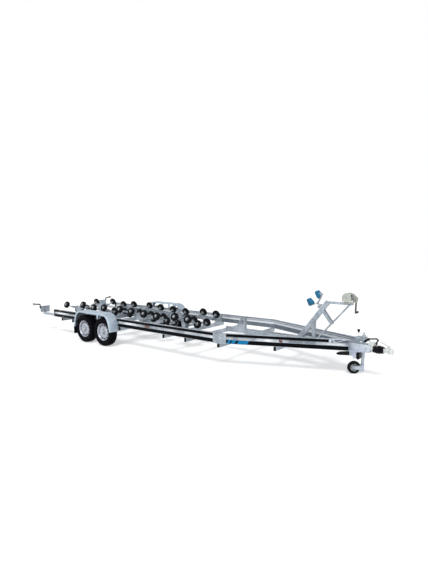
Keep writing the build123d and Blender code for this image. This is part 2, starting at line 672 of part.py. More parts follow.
def winch_crank():
    """Crank hanging from its shaft, with its grip turned outward."""
    y = 112
    crank = rod((CRANK_X, 68, CRANK_Z), (CRANK_X, y + 12, CRANK_Z), 9)
    crank += rod((CRANK_X, y, CRANK_Z), (CRANK_X, y + 12, CRANK_Z), 17)
    crank += block(CRANK_X - 13, CRANK_X + 13, y, y + 10, 1030, CRANK_Z)
    crank += rod((CRANK_X, y, 1036), (CRANK_X, y + 118, 1036), 14)
    return crank


# ------------------------------------------------------------------ jockey wheel and chocks
def jockey_clamp():
    """Clamp block on the left side of the drawbar, split round the tube, and its screw handle."""
    clamp = block(5100, 5262, 100, 226, 566, 636)
    clamp += block(5100, 5180, 76, 100, RAIL_BOTTOM, 636)
    clamp += block(5100, 5230, 72, 78, RAIL_BOTTOM, 556)
    clamp -= rod((JOCKEY_X, JOCKEY_Y, 400), (JOCKEY_X, JOCKEY_Y, 700), JOCKEY_TUBE)
    clamp += rod((5262, 150, 600), (5312, 150, 600), 8)
    clamp += block(5306, 5318, 144, 156, 570, 630)
    return clamp


def jockey_tube():
    """Outer tube with its top cap, screw stem and crank."""
    top = 662
    tube = rod((JOCKEY_X, JOCKEY_Y, 270), (JOCKEY_X, JOCKEY_Y, top), JOCKEY_TUBE)
    tube -= rod((JOCKEY_X, JOCKEY_Y, 260), (JOCKEY_X, JOCKEY_Y, top - 12), JOCKEY_INNER + 0.4)
    tube += rod((JOCKEY_X, JOCKEY_Y, top - 6), (JOCKEY_X, JOCKEY_Y, 706), 10)
    crank_x, crank_y = JOCKEY_X - 82, JOCKEY_Y - 40
    tube += rod((JOCKEY_X, JOCKEY_Y, 697), (crank_x, crank_y, 697), 6)
    tube += rod((crank_x, crank_y, 688), (crank_x, crank_y, 716), 8)
    return tube


def jockey_knob():
    """Grip of the jockey crank."""
    crank_x, crank_y = JOCKEY_X - 82, JOCKEY_Y - 40
    grip = Pos(crank_x, crank_y, 716) * Cone(17, 25, 44, align=(Align.CENTER, Align.CENTER, Align.MIN))
    return grip


def jockey_inner():
    """Inner tube that the screw drives up and down."""
    tube = rod((JOCKEY_X, JOCKEY_Y, 172), (JOCKEY_X, JOCKEY_Y, 560), JOCKEY_INNER)
    return tube - rod((JOCKEY_X, JOCKEY_Y, 171), (JOCKEY_X, JOCKEY_Y, 215), 12 + RUNNING_GAP)


def jockey_place():
    """Frame of the castor: X points from the tube towards the wheel."""
    return Pos(JOCKEY_X, JOCKEY_Y, 0) * Rot(0, 0, JOCKEY_SWIVEL)


def jockey_fork():
    """Castor: boss under the inner tube and two cheeks reaching back to the wheel's pin."""
    fork = Pos(0, 0, 108) * Cylinder(29, 124)
    fork += Pos(0, 0, 190) * Cylinder(12, 40)
    outline = [(-10, 60), (-10, 150), (40, 150), (JOCKEY_TRAIL + 16, 128), (JOCKEY_TRAIL + 20, 104),
               (JOCKEY_TRAIL + 6, 90), (30, 60)]
    for y in (-40, 35):
        fork += side_plate(outline, y, y + 5)
    fork += block(-10, 22, -40, 40, 60, 150)
    fork += rod((JOCKEY_TRAIL, -44, JOCKEY_RADIUS), (JOCKEY_TRAIL, 44, JOCKEY_RADIUS), 8)
    return jockey_place() * fork


def jockey_wheel():
    """Solid tyre and hub in one turning piece."""
    section = Polyline((-27, 8 + RUNNING_GAP), (-27, 40), (-14, 46), (-14, 78), (-27, 84), (-27, 98),
                       (-16, JOCKEY_RADIUS), (16, JOCKEY_RADIUS), (27, 98), (27, 84), (14, 78), (14, 46),
                       (27, 40), (27, 8 + RUNNING_GAP), close=True)
    wheel = wheel_turn(rotated_section(section), 0)
    return jockey_place() * Pos(JOCKEY_TRAIL, 0, JOCKEY_RADIUS) * wheel


def chock_holder():
    """Folded bracket under the drawbar that grips both wheel chocks."""
    top = RAIL_BOTTOM - 6
    rear, front, low, half, sheet = 5065, 5178, 262, 70, 5
    holder = block(rear, front, -half, sheet - half, low, top)
    holder += block(rear, front, half - sheet, half, low, top)
    holder += block(rear, rear + sheet, -half, half, 376, top)
    holder += block(front - sheet, front, -half, half, 300, top)
    holder += block(rear, front, -half, half, low, low + sheet)
    return holder


def chocks():
    """Two wheel chocks, one pointing back and one forward."""
    rear = side_plate([(4840, 354), (5060, 372), (5168, 372), (5168, 300), (5070, 322), (4930, 340)], -60, 60)
    front = side_plate([(5181, 384), (5228, 396), (5286, 396), (5294, 318), (5254, 280), (5181, 300)], -60, 60)
    return Compound(children=[rear.solid(), front.solid()])


# ------------------------------------------------------------------ the whole trailer
def save(name, shape):
    """Write one sub-part, shifted so that the origin lies under the middle of the trailer."""
    export_step(Pos(-MID_X, 0, 0) * shape, "parts/" + name + ".step")


def save_pair(name, shape):
    save(name + "_right", shape)
    save(name + "_left", mirrored(shape))


def build():
    os.makedirs("parts", exist_ok=True)
    save_pair("rail_rear", rear_rail())
    save_pair("rail_front", front_rail())
    save_pair("bend_plate", bend_plate())
    for index in range(len(CRADLES)):
        save("cradle_member_" + str(index + 1), cradle_member(index))
    save("member_tail", plain_member(-1470))
    save("member_middle", plain_member(2230))
    save("member_bend", cross_member(3015, RAIL_OUTER_Y - 8))
    save("member_front", cross_member(3945, rail_outer_at(3990) - 4))
    save("spine", spine())
    cap, base = drawbar_plates()
    save("drawbar_cap", cap)
    save("drawbar_base", base)
    save("overrun_housing", overrun_housing())
    save("overrun_bellows", bellows())
    save("coupling_head", coupling_head())
    save("coupling_handle", coupling_handle())
    save("handbrake_lever", handbrake_lever())
    for name, x in (("front", 0), ("rear", -AXLE_SPACING)):
        save("axle_" + name, axle(x))
        for side_name, side in (("right", -1), ("left", 1)):
            save("tyre_" + name + "_" + side_name, tyre(x, side))
            save("rim_" + name + "_" + side_name, rim(x, side))
    save_pair("mudguard", mudguard())
    save_pair("lamp_carrier", lamp_carrier())
    save_pair("tail_lamp", tail_lamp())
    for index in range(len(CRADLES)):
        save("cradle_" + str(index + 1), cradle_frame(index))
        save("rollers_" + str(index + 1), cradle_rollers(index))
    save("winch_stand", winch_stand())
    save("bow_fork", bow_fork())
    save("bow_pads", bow_pads())
    save("winch_frame", winch_frame())
    save("winch_drum", winch_drum())
    save("winch_crank", winch_crank())
    save("jockey_clamp", jockey_clamp())
    save("jockey_tube", jockey_tube())
    save("jockey_knob", jockey_knob())
    save("jockey_inner", jockey_inner())
    save("jockey_fork", jockey_fork())
    save("jockey_wheel", jockey_wheel())
    save("chock_holder", chock_holder())
    save("chocks", chocks())


build()
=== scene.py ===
# %% [markdown]
# # Tandem-axle boat trailer
# This lesson dresses a finished engineering model of a boat trailer. The solids, their places and
# their joints are already there, so nothing here moves or resizes them. What is left is what a
# catalogue picture needs: finishes, and the small parts that a solid model leaves plain, such as
# tread, fasteners, lenses and gears.

# %% Load the frame
import math
import bmesh
import bpy
from mathutils import Matrix, Vector


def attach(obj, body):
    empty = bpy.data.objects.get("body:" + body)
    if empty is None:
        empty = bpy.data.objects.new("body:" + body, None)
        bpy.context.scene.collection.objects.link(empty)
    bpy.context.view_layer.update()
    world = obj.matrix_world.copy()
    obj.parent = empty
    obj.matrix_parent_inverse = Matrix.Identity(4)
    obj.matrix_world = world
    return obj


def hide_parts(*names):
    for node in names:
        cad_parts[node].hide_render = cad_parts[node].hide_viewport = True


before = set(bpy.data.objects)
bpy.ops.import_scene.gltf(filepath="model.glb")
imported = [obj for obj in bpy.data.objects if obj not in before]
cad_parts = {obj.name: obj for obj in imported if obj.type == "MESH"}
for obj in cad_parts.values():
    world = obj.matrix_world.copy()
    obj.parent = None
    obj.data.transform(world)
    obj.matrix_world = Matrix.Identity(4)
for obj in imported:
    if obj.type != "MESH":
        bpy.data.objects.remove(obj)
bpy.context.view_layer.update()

# %% [markdown]
# ## Drawing coordinates
# The trailer was drawn in millimetres with X measured forward from the front axle, Y to the left
# and Z up from the ground. The shared frame is in metres and starts under the middle of the
# trailer. One small function turns the first into the second, so that every size below reads like
# the drawing.

# %% From the drawing to the frame
AXLE_TO_MIDDLE = 1437.5


def at(x, y, z):
    """A point of the drawing, in millimetres, as a point of the frame, in metres."""
    return Vector(((x - AXLE_TO_MIDDLE) / 1000, y / 1000, z / 1000))


print("front axle lies at x =", round(at(0, 0, 0).x, 4))

# %% [markdown]
# ## Camera, floor and light
# The camera stands low in front of the right-hand corner and looks slightly down. The trailer
# stands on a plain white floor. The floor takes a soft shadow, and where nothing shades it a little
# glow is added for the camera and for reflections alone, which keeps the paper-white background
# without pouring more light on the steel.

# %% Camera
LOOKS_DOWN, TURNED_LEFT = 8.889, 37.711  # degrees
camera_data = bpy.data.cameras.new("studio_camera")
camera_data.lens = 25.307
camera_data.sensor_width = 36
camera_data.shift_y = 0.0583
camera_data.clip_end = 200
camera = bpy.data.objects.new("studio_camera", camera_data)
camera.location = (5.8243, -6.5802, 1.9727)
camera.rotation_euler = (math.radians(90 - LOOKS_DOWN), 0, math.radians(TURNED_LEFT))
bpy.context.scene.collection.objects.link(camera)
bpy.context.scene.camera = camera
bpy.context.scene.view_settings.view_transform = "Standard"
print("camera height", camera.location.z)


# %% A short way to wire shader nodes
def feed(tree, node, inputs):
    """Set the inputs of a node, given as values or as outputs to link."""
    for key, value in inputs.items():
        if isinstance(value, bpy.types.NodeSocket):
            tree.links.new(value, node.inputs[key])
        else:
            node.inputs[key].default_value = value


def add_node(tree, kind, inputs=None, **settings):
    """One shader node with its settings and inputs."""
    node = tree.nodes.new(kind)
    for key, value in settings.items():
        setattr(node, key, value)
    feed(tree, node, inputs or {})
    return node


def maths(tree, operation, first, second=0.0, third=0.0, clamp=False):
    """The value of one arithmetic step."""
    node = add_node(tree, "ShaderNodeMath", {0: first, 1: second, 2: third}, operation=operation)
    node.use_clamp = clamp
    return node.outputs[0]


def colour(red, green, blue):
    """A colour as it is read from a paint chart (0 to 255), turned into linear light."""
    linear = []
    for value in (red, green, blue):
        value /= 255
        linear.append(value / 12.92 if value <= 0.04045 else ((value + 0.055) / 1.055) ** 2.4)
    return (*linear, 1.0)


# %% White floor that keeps the shadow
FLOOR_RADIUS = 60  # metres
floor_finish = bpy.data.materials.new("studio_floor")
floor_finish.use_nodes = True
tree = floor_finish.node_tree
tree.nodes.clear()
paper = add_node(tree, "ShaderNodeBsdfDiffuse", {"Color": (0.8, 0.8, 0.8, 1)})
glow = add_node(tree, "ShaderNodeEmission", {"Color": (1, 1, 1, 1), "Strength": 0.4})
lifted = add_node(tree, "ShaderNodeAddShader", {0: paper.outputs[0], 1: glow.outputs[0]})
path = add_node(tree, "ShaderNodeLightPath")
seen = maths(tree, "MAXIMUM", path.outputs["Is Camera Ray"], path.outputs["Is Glossy Ray"])
seen = maths(tree, "MAXIMUM", seen, path.outputs["Is Transmission Ray"])
mixed = add_node(tree, "ShaderNodeMixShader", {0: seen, 1: paper.outputs[0], 2: lifted.outputs[0]})
add_node(tree, "ShaderNodeOutputMaterial", {"Surface": mixed.outputs[0]})

floor_mesh = bpy.data.meshes.new("studio_floor")
angles = [math.radians(degree) for degree in range(0, 360, 6)]
rim_points = [(FLOOR_RADIUS * math.cos(a), FLOOR_RADIUS * math.sin(a), -0.0005) for a in angles]
floor_mesh.from_pydata(rim_points, [], [list(range(len(rim_points)))])
floor_mesh.materials.append(floor_finish)
floor = bpy.data.objects.new("studio_floor", floor_mesh)
bpy.context.scene.collection.objects.link(floor)
print("floor radius", FLOOR_RADIUS, "m")

# %% Soft studio light
world = bpy.data.worlds.new("studio_world")
world.use_nodes = True
bpy.context.scene.world = world
tree = world.node_tree
tree.nodes.clear()
direction = add_node(tree, "ShaderNodeTexCoord")
parts = add_node(tree, "ShaderNodeSeparateXYZ", {0: direction.outputs["Generated"]})
height = add_node(tree, "ShaderNodeMapRange",
                  {0: parts.outputs["Z"], 1: -0.1, 2: 0.9, 3: 1.15, 4: 0.5})
sky = add_node(tree, "ShaderNodeBackground", {"Color": (0.93, 0.965, 1, 1), "Strength": 0.42})
room = add_node(tree, "ShaderNodeBackground",
                {"Color": (0.95, 0.975, 1, 1), "Strength": height.outputs[0]})
white = add_node(tree, "ShaderNodeBackground", {"Color": (1, 1, 1, 1), "Strength": 1.0})
path = add_node(tree, "ShaderNodeLightPath")
reflected = maths(tree, "MAXIMUM", path.outputs["Is Glossy Ray"],
                  path.outputs["Is Transmission Ray"])
mixed = add_node(tree, "ShaderNodeMixShader", {0: reflected, 1: sky.outputs[0], 2: room.outputs[0]})
mixed = add_node(tree, "ShaderNodeMixShader",
                 {0: path.outputs["Is Camera Ray"], 1: mixed.outputs[0], 2: white.outputs[0]})
add_node(tree, "ShaderNodeOutputWorld", {"Surface": mixed.outputs[0]})

for name, strength, spread, turn in (
    ("key_sun", 1.8, 16, (40, 0, 34)),
    ("low_side_sun", 0.8, 24, (74, 0, 6)),
):
    lamp_data = bpy.data.lights.new(name, "SUN")
    lamp_data.energy = strength
    lamp_data.angle = math.radians(spread)
    lamp = bpy.data.objects.new(name, lamp_data)
    lamp.rotation_euler = [math.radians(a) for a in turn]
    bpy.context.scene.collection.objects.link(lamp)
print("lights: key, low side light and an even room")

# %% [markdown]
# ## Effects shared by the finishes
# Hot-dip galvanising freezes in crystals called spangle, each a slightly different grey, and no
# weld or edge comes out of the bath razor sharp. Both effects belong to many materials, so each is
# a node group that is built once: one gives the crystal pattern, one rounds edges in the shading
# and says where they are, one gives the fine grain of moulded rubber and plastic, and one paints a
# band between two limits.


# %% Making a node group
def start_group(name, inputs, outputs):
    """An empty shader group with named sockets, and its input and output nodes."""
    group = bpy.data.node_groups.new(name, "ShaderNodeTree")
    kinds = {"value": "NodeSocketFloat", "colour": "NodeSocketColor", "normal": "NodeSocketVector"}
    for socket, kind, *default in inputs:
        made = group.interface.new_socket(name=socket, in_out="INPUT", socket_type=kinds[kind])
        if default:
            made.default_value = default[0]
    for socket, kind in outputs:
        group.interface.new_socket(name=socket, in_out="OUTPUT", socket_type=kinds[kind])
    return group, group.nodes.new("NodeGroupInput"), group.nodes.new("NodeGroupOutput")


# %% Zinc spangle
spangle, given, result = start_group(
    "Zinc Spangle",
    [("Dark", "colour", (0.2, 0.22, 0.25, 1)), ("Light", "colour", (0.5, 0.53, 0.57, 1)),
     ("Scale", "value", 55.0), ("Roughness", "value", 0.42)],
    [("Color", "colour"), ("Roughness", "value"), ("Height", "value")])
place = add_node(spangle, "ShaderNodeTexCoord").outputs["Object"]
bend = add_node(spangle, "ShaderNodeTexNoise", {"Vector": place, "Scale": 30.0, "Detail": 3.0})
shifted = add_node(spangle, "ShaderNodeVectorMath",
                   {0: bend.outputs["Color"], 1: (0.02, 0.02, 0.02), 2: place},
                   operation="MULTIPLY_ADD")
crystal = add_node(spangle, "ShaderNodeTexVoronoi",
                   {"Vector": shifted.outputs[0], "Scale": given.outputs["Scale"]})
grey = add_node(spangle, "ShaderNodeSeparateColor", {0: crystal.outputs["Color"]})
cloud = add_node(spangle, "ShaderNodeTexNoise",
                 {"Vector": place, "Scale": 2.6, "Detail": 5.0, "Roughness": 0.6})
streak = add_node(spangle, "ShaderNodeTexNoise", {"Vector": place, "Scale": 14.0, "Detail": 4.0})
tone = maths(spangle, "MULTIPLY_ADD", grey.outputs[0], 0.3, -0.15)
tone = maths(spangle, "ADD", tone, maths(spangle, "MULTIPLY_ADD", cloud.outputs[0], 1.3, -0.15))
tone = maths(spangle, "ADD", tone, maths(spangle, "MULTIPLY_ADD", streak.outputs[0], 0.3, -0.15),
             clamp=True)
skin = add_node(spangle, "ShaderNodeMix",
                {0: tone, 6: given.outputs["Dark"], 7: given.outputs["Light"]}, data_type="RGBA")
rough = maths(spangle, "MULTIPLY_ADD", grey.outputs[1], 0.14, -0.07)
feed(spangle, result, {
    "Color": skin.outputs[2],
    "Roughness": maths(spangle, "ADD", rough, given.outputs["Roughness"]),
    "Height": maths(spangle, "MULTIPLY_ADD", grey.outputs[2], 0.35, cloud.outputs[0])})
print("group:", spangle.name)

# %% Soft edges
soft_edge, given, result = start_group(
    "Soft Edge",
    [("Radius", "value", 0.002)],
    [("Normal", "normal"), ("Mask", "value")])
rounded = add_node(soft_edge, "ShaderNodeBevel", {"Radius": given.outputs["Radius"]}, samples=6)
flat = add_node(soft_edge, "ShaderNodeNewGeometry")
agree = add_node(soft_edge, "ShaderNodeVectorMath",
                 {0: rounded.outputs[0], 1: flat.outputs["Normal"]}, operation="DOT_PRODUCT")
edge = add_node(soft_edge, "ShaderNodeMapRange",
                {0: agree.outputs["Value"], 1: 0.99, 2: 0.8, 3: 0.0, 4: 1.0})
feed(soft_edge, result, {"Normal": rounded.outputs[0], "Mask": edge.outputs[0]})
print("group:", soft_edge.name)

# %% Moulded grain
grain, given, result = start_group(
    "Moulded Grain",
    [("Scale", "value", 900.0), ("Base", "colour", (0.02, 0.02, 0.02, 1)),
     ("Bloom", "colour", (0.06, 0.06, 0.06, 1))],
    [("Color", "colour"), ("Value", "value"), ("Height", "value")])
place = add_node(grain, "ShaderNodeTexCoord").outputs["Object"]
fine = add_node(grain, "ShaderNodeTexNoise",
                {"Vector": place, "Scale": given.outputs["Scale"], "Detail": 2.0})
wide = add_node(grain, "ShaderNodeTexNoise", {"Vector": place, "Scale": 9.0, "Detail": 5.0})
amount = maths(grain, "MULTIPLY_ADD", wide.outputs[0], 1.6, -0.45, clamp=True)
skin = add_node(grain, "ShaderNodeMix",
                {0: amount, 6: given.outputs["Base"], 7: given.outputs["Bloom"]}, data_type="RGBA")
feed(grain, result, {"Color": skin.outputs[2], "Value": wide.outputs[0], "Height": fine.outputs[0]})
print("group:", grain.name)

# %% Painted band
band, given, result = start_group(
    "Painted Band",
    [("Along", "value", 0.0), ("Low", "value", 0.0), ("High", "value", 1.0),
     ("Softness", "value", 0.0006)],
    [("Mask", "value")])
above = maths(band, "SUBTRACT", given.outputs["Along"], given.outputs["Low"])
above = maths(band, "DIVIDE", above, given.outputs["Softness"], clamp=True)
below = maths(band, "SUBTRACT", given.outputs["High"], given.outputs["Along"])
below = maths(band, "DIVIDE", below, given.outputs["Softness"], clamp=True)
feed(band, result, {"Mask": maths(band, "MULTIPLY", above, below)})
print("group:", band.name)

# %% [markdown]
# ## Finishes
# Every material has its own Principled shader. Values that are the same all over a surface are
# typed on the shader, and the groups feed only what changes over it: colour, roughness and normals.


# %% Starting a material and placing a group in it
def start_finish(name, metallic=0.0, roughness=0.5, **plain):
    """A material with its Principled shader and constant values."""
    material = bpy.data.materials.new(name)
    material.use_nodes = True
    tree = material.node_tree
    tree.nodes.clear()
    shader = add_node(tree, "ShaderNodeBsdfPrincipled",
                      {"Metallic": metallic, "Roughness": roughness})
    for socket, value in plain.items():
        shader.inputs[socket.replace("_", " ")].default_value = value
    add_node(tree, "ShaderNodeOutputMaterial", {"Surface": shader.outputs[0]})
    return material, tree, shader


def wired(tree, group, inputs):
    """The outputs of a group placed in a material."""
    return add_node(tree, "ShaderNodeGroup", inputs, node_tree=group).outputs


def bump(tree, shader, height, strength, distance, normal=None):
    """Height as a bump on top of a normal, into the shader."""
    inputs = {"Height": height, "Strength": strength, "Distance": distance}
    if normal is not None:
        inputs["Normal"] = normal
    feed(tree, shader, {"Normal": add_node(tree, "ShaderNodeBump", inputs).outputs[0]})


def blended(tree, mask, under, over):
    """One colour laid over another where the mask is 1."""
    return add_node(tree, "ShaderNodeMix", {0: mask, 6: under, 7: over},
                    data_type="RGBA").outputs[2]


# %% Galvanised steel, and the same with a different brightness
# Edges are lightened towards this colour: partly rubbed zinc, partly a painted highlight
EDGE_WEAR_AND_HIGHLIGHT = colour(222, 228, 233)
EDGE_SHARE = 0.35


def galvanised_finish(name, dark, light, metallic=0.55, rough=0.42, scale=55.0):
    """Spangled zinc between two greys, its edges lightened as rubbed zinc and as a painted
    highlight.
    """
    material, tree, shader = start_finish(name, metallic=metallic)
    zinc = wired(tree, spangle, {"Dark": dark, "Light": light, "Scale": scale, "Roughness": rough})
    edges = wired(tree, soft_edge, {"Radius": 0.0022})
    bright = maths(tree, "MULTIPLY", edges["Mask"], EDGE_SHARE)
    feed(tree, shader, {"Base Color": blended(tree, bright, zinc["Color"], EDGE_WEAR_AND_HIGHLIGHT),
                        "Roughness": zinc["Roughness"]})
    bump(tree, shader, zinc["Height"], 0.12, 0.0012, edges["Normal"])
    return material


galvanised = galvanised_finish("galvanised_steel", colour(88, 99, 111), colour(212, 221, 229),
                               metallic=0.45)
guard_zinc = galvanised_finish("pale_mudguard_zinc", colour(140, 158, 174), colour(208, 222, 234),
                               metallic=0.35)
bright_zinc = galvanised_finish("zinc_plated_fasteners", colour(150, 156, 160),
                                colour(214, 216, 212), metallic=0.85, rough=0.3, scale=400.0)
head_zinc = galvanised_finish("bright_drawbar_zinc", colour(158, 168, 182), colour(222, 228, 238),
                              metallic=0.35, scale=90.0)
winch_zinc = galvanised_finish("yellowish_zinc_winch", colour(158, 161, 153), colour(202, 205, 196),
                               metallic=0.5, rough=0.36, scale=220.0)
cast_zinc = galvanised_finish("pale_cast_zinc", colour(186, 190, 188), colour(226, 229, 226),
                              metallic=0.35, rough=0.46, scale=300.0)
dark_steel = galvanised_finish("blackened_steel", colour(44, 47, 51), colour(74, 78, 82),
                               metallic=0.6, rough=0.4, scale=260.0)
# Dark drum steel; in the wheels it also paints the shade of the slots, the ring round the hub and
# the nut seats
drum_and_shade_steel = galvanised_finish("brake_drum_and_painted_shade", colour(30, 33, 37), colour(58, 62, 67),
                               metallic=0.3, rough=0.6, scale=160.0)
print("metal finishes:", 8)

# %% [markdown]
# ### Striped rails
# The chassis rails carry two long black stripes on their outer webs, above and below the recess,
# and a blue panel with slanted dark bars on each front rail. On the real trailer these are adhesive
# films, flat colour with a slight gloss. Drawing them in the material from heights and lengths
# keeps their borders crisp at any distance and follows the mitred bend. The film lies only on the
# outer sheet of the rail, on faces that look outwards. The fold between the stripes is painted
# light: on the outside a painted shade with painted reflections over it in bright patches, and on
# the inside all painted bright, between a foot and a lip darkened by painted shade. Past the end
# of the upper film, the web behind the drawbar braces is darkened by painted shade as well.

# %% Where the rails run
RAIL_FOOT = 0.438  # height of a rail's underside, in metres
RAIL_Y = 1005  # outer face of the straight part
BEND_X, BEND_RUN, BEND_RISE = 3060, 2022, 830  # where the rails turn in, and at what slope
RAIL_LEAN = math.atan2(BEND_RISE, BEND_RUN)


def rail_y(x):
    """Outer face of a rail, which runs in towards the drawbar in front of the bend."""
    return RAIL_Y - max(0, x - BEND_X) * BEND_RISE / BEND_RUN


print("the rails lean in by", round(math.degrees(RAIL_LEAN), 1), "degrees")

# %% Masks for the sides of a rail
striped, tree, shader = start_finish("striped_galvanised_rail", Specular_IOR_Level=0.05)


def times(first, second):
    """Two masks or values multiplied in the rail's material."""
    return maths(tree, "MULTIPLY", first, second)


def without(mask):
    """All of the rail that a mask leaves out."""
    return maths(tree, "SUBTRACT", 1.0, mask)


def between(along, low, high, softness=0.0006):
    """Mask of a painted band on the rail."""
    limits = {"Along": along, "Low": low, "High": high, "Softness": softness}
    return wired(tree, band, limits)["Mask"]


place = add_node(tree, "ShaderNodeTexCoord").outputs
spot = add_node(tree, "ShaderNodeSeparateXYZ", {0: place["Object"]}).outputs
facing = add_node(tree, "ShaderNodeSeparateXYZ", {0: place["Normal"]}).outputs
sideways = times(facing["Y"], maths(tree, "SIGN", spot["Y"]))
past_bend = maths(tree, "SUBTRACT", spot["X"], at(BEND_X, 0, 0).x)
past_bend = maths(tree, "MAXIMUM", past_bend, 0.0)
straightened = maths(tree, "MULTIPLY_ADD", past_bend, BEND_RISE / BEND_RUN,
                     maths(tree, "ABSOLUTE", spot["Y"]))
outer_sheet = maths(tree, "GREATER_THAN", straightened, (RAIL_Y - 30) / 1000)
outward = times(maths(tree, "GREATER_THAN", sideways, 0.85), outer_sheet)
inward = maths(tree, "LESS_THAN", sideways, -0.85)
print("material:", striped.name)

# %% Films and the blue panel
SLANT = 0.55
BARS = ((3190, 3206), (3252, 3276), (3338, 3378))
upper = between(spot["Z"], RAIL_FOOT + 0.124, RAIL_FOOT + 0.178)
upper_end = between(spot["X"], -9.0, at(4794, 0, 0).x)
lower = between(spot["Z"], RAIL_FOOT + 0.006, RAIL_FOOT + 0.077)
film = times(maths(tree, "ADD", times(upper, upper_end), lower, clamp=True), outward)
slant = maths(tree, "MULTIPLY_ADD", spot["Z"], -SLANT, spot["X"])
slant = maths(tree, "ADD", slant, SLANT * (RAIL_FOOT + 0.042))
panel = times(between(slant, at(3190, 0, 0).x, at(3548, 0, 0).x), lower)
bars = None
for low, high in BARS:
    bar = between(slant, at(low, 0, 0).x, at(high, 0, 0).x)
    bars = bar if bars is None else maths(tree, "ADD", bars, bar, clamp=True)
paint = blended(tree, times(panel, without(bars)), colour(5, 6, 9), colour(24, 116, 164))
print("panel with", len(BARS), "dark bars")

# %% Bare steel of the rails
# Grey of painted shade: under the painted reflections of the outer fold, and on the inner foot and
# lip
PAINTED_SHADE_ZINC = colour(104, 112, 122)
zinc = wired(tree, spangle, {"Dark": colour(96, 107, 119), "Light": colour(212, 221, 229),
                             "Scale": 55.0, "Roughness": 0.42})
edges = wired(tree, soft_edge, {"Radius": 0.0022})
# Edges lightened as rubbed zinc and as a painted highlight, as in the galvanised finish
steel = blended(tree, times(edges["Mask"], EDGE_SHARE), zinc["Color"], EDGE_WEAR_AND_HIGHLIGHT)
fold_top = maths(tree, "MULTIPLY_ADD", outward, -0.038, RAIL_FOOT + 0.162)
fold = between(spot["Z"], RAIL_FOOT + 0.078, fold_top, 0.004)
# Slow noise places painted reflections on the fold; on inner faces the whole fold is painted bright
cloud = add_node(tree, "ShaderNodeTexNoise",
                 {"Vector": place["Object"], "Scale": 1.9, "Detail": 3.0})
painted_light_patches = maths(tree, "MULTIPLY_ADD", cloud.outputs[0], 4.2, -1.75, clamp=True)
painted_light_patches = maths(tree, "MAXIMUM", painted_light_patches, inward)
# Outer fold in painted shade, then painted reflections and the painted-bright inner fold, then
# painted shade on the inner foot and lip
steel = blended(tree, times(times(fold, outward), 0.7), steel, PAINTED_SHADE_ZINC)
steel = blended(tree, times(fold, painted_light_patches), steel, colour(238, 241, 245))
steel = blended(tree, times(times(inward, 0.7), without(fold)), steel, PAINTED_SHADE_ZINC)
# Upper band past the end of the film, behind the drawbar braces: darkened as painted shade
shaded_web_past_film = times(times(upper, outward), without(upper_end))
steel = blended(tree, shaded_web_past_film, steel, colour(92, 102, 112))
bare = without(film)
feed(tree, shader, {
    "Base Color": blended(tree, film, steel, paint),
    "Metallic": times(bare, maths(tree, "MULTIPLY_ADD", fold, -0.3, 0.4)),
    "Roughness": maths(tree, "MULTIPLY_ADD", film, -0.08, zinc["Roughness"])})
bump(tree, shader, times(zinc["Height"], bare), 0.12, 0.0012, edges["Normal"])
print("nodes in the rail material:", len(tree.nodes))


# %% Rubber, plastics and paint
def moulded_finish(name, base, bloom, rough=0.6, scale=900.0, strength=0.2, **plain):
    """Rubber or plastic: grain bump and a slightly uneven tone."""
    material, tree, shader = start_finish(name, **plain)
    skin = wired(tree, grain, {"Scale": scale, "Base": base, "Bloom": bloom})
    edges = wired(tree, soft_edge, {"Radius": 0.0015})
    feed(tree, shader, {
        "Base Color": skin["Color"],
        "Roughness": maths(tree, "MULTIPLY_ADD", skin["Value"], 0.2, rough - 0.1)})
    bump(tree, shader, skin["Height"], strength, 0.0006, edges["Normal"])
    return material


tyre_rubber = moulded_finish("tyre_rubber", colour(6, 6, 9), colour(19, 19, 25), rough=0.74,
                             Specular_IOR_Level=0.05)
roller_rubber = moulded_finish("roller_rubber", colour(5, 6, 9), colour(15, 17, 21), rough=0.5,
                               Specular_IOR_Level=0.09)
flap_rubber = moulded_finish("mud_flap_rubber", colour(5, 5, 7), colour(14, 15, 17), rough=0.6,
                             Specular_IOR_Level=0.05)
gaiter_rubber = moulded_finish("gaiter_rubber", colour(14, 11, 17), colour(34, 30, 38), rough=0.45,
                               Specular_IOR_Level=0.2)
jockey_rubber = moulded_finish("jockey_tyre_rubber", colour(8, 9, 10), colour(20, 21, 23),
                               rough=0.6, Specular_IOR_Level=0.12)
black_plastic = moulded_finish("black_plastic", colour(6, 6, 8), colour(17, 18, 21), rough=0.4,
                               scale=1400.0, Specular_IOR_Level=0.12)
lever_paint = moulded_finish("black_lever_paint", colour(8, 8, 10), colour(18, 18, 21), rough=0.3,
                             scale=2400.0, Specular_IOR_Level=0.2)
hub_plastic = moulded_finish("grey_hub_plastic", colour(128, 134, 138), colour(158, 163, 166),
                             rough=0.42, scale=1200.0)
pad_blue = moulded_finish("blue_pad_rubber", colour(8, 96, 136), colour(22, 122, 164), rough=0.46,
                          scale=700.0)
wheel_paint = moulded_finish("silver_wheel_paint", colour(160, 164, 176), colour(212, 216, 226),
                             rough=0.3, scale=2600.0, strength=0.06, metallic=0.6)
strap_web = moulded_finish("winch_strap_webbing", colour(40, 44, 52), colour(64, 69, 78), rough=0.8,
                           scale=500.0)
print("moulded and painted finishes:", 11)


# %% Lenses
def lens_finish(name, tint, glow_tint):
    """Ribbed lens plastic, drawn as a solid colour under a clear coat."""
    material, tree, shader = start_finish(name, roughness=0.16, Coat_Weight=0.6,
                                          Coat_Roughness=0.05, IOR=1.49)
    place = add_node(tree, "ShaderNodeTexCoord")
    ribs = add_node(tree, "ShaderNodeTexWave", {"Vector": place.outputs["Object"], "Scale": 160.0},
                    bands_direction="Z")
    feed(tree, shader, {"Base Color": blended(tree, ribs.outputs["Fac"], tint, glow_tint)})
    bump(tree, shader, ribs.outputs["Fac"], 0.4, 0.0008)
    return material


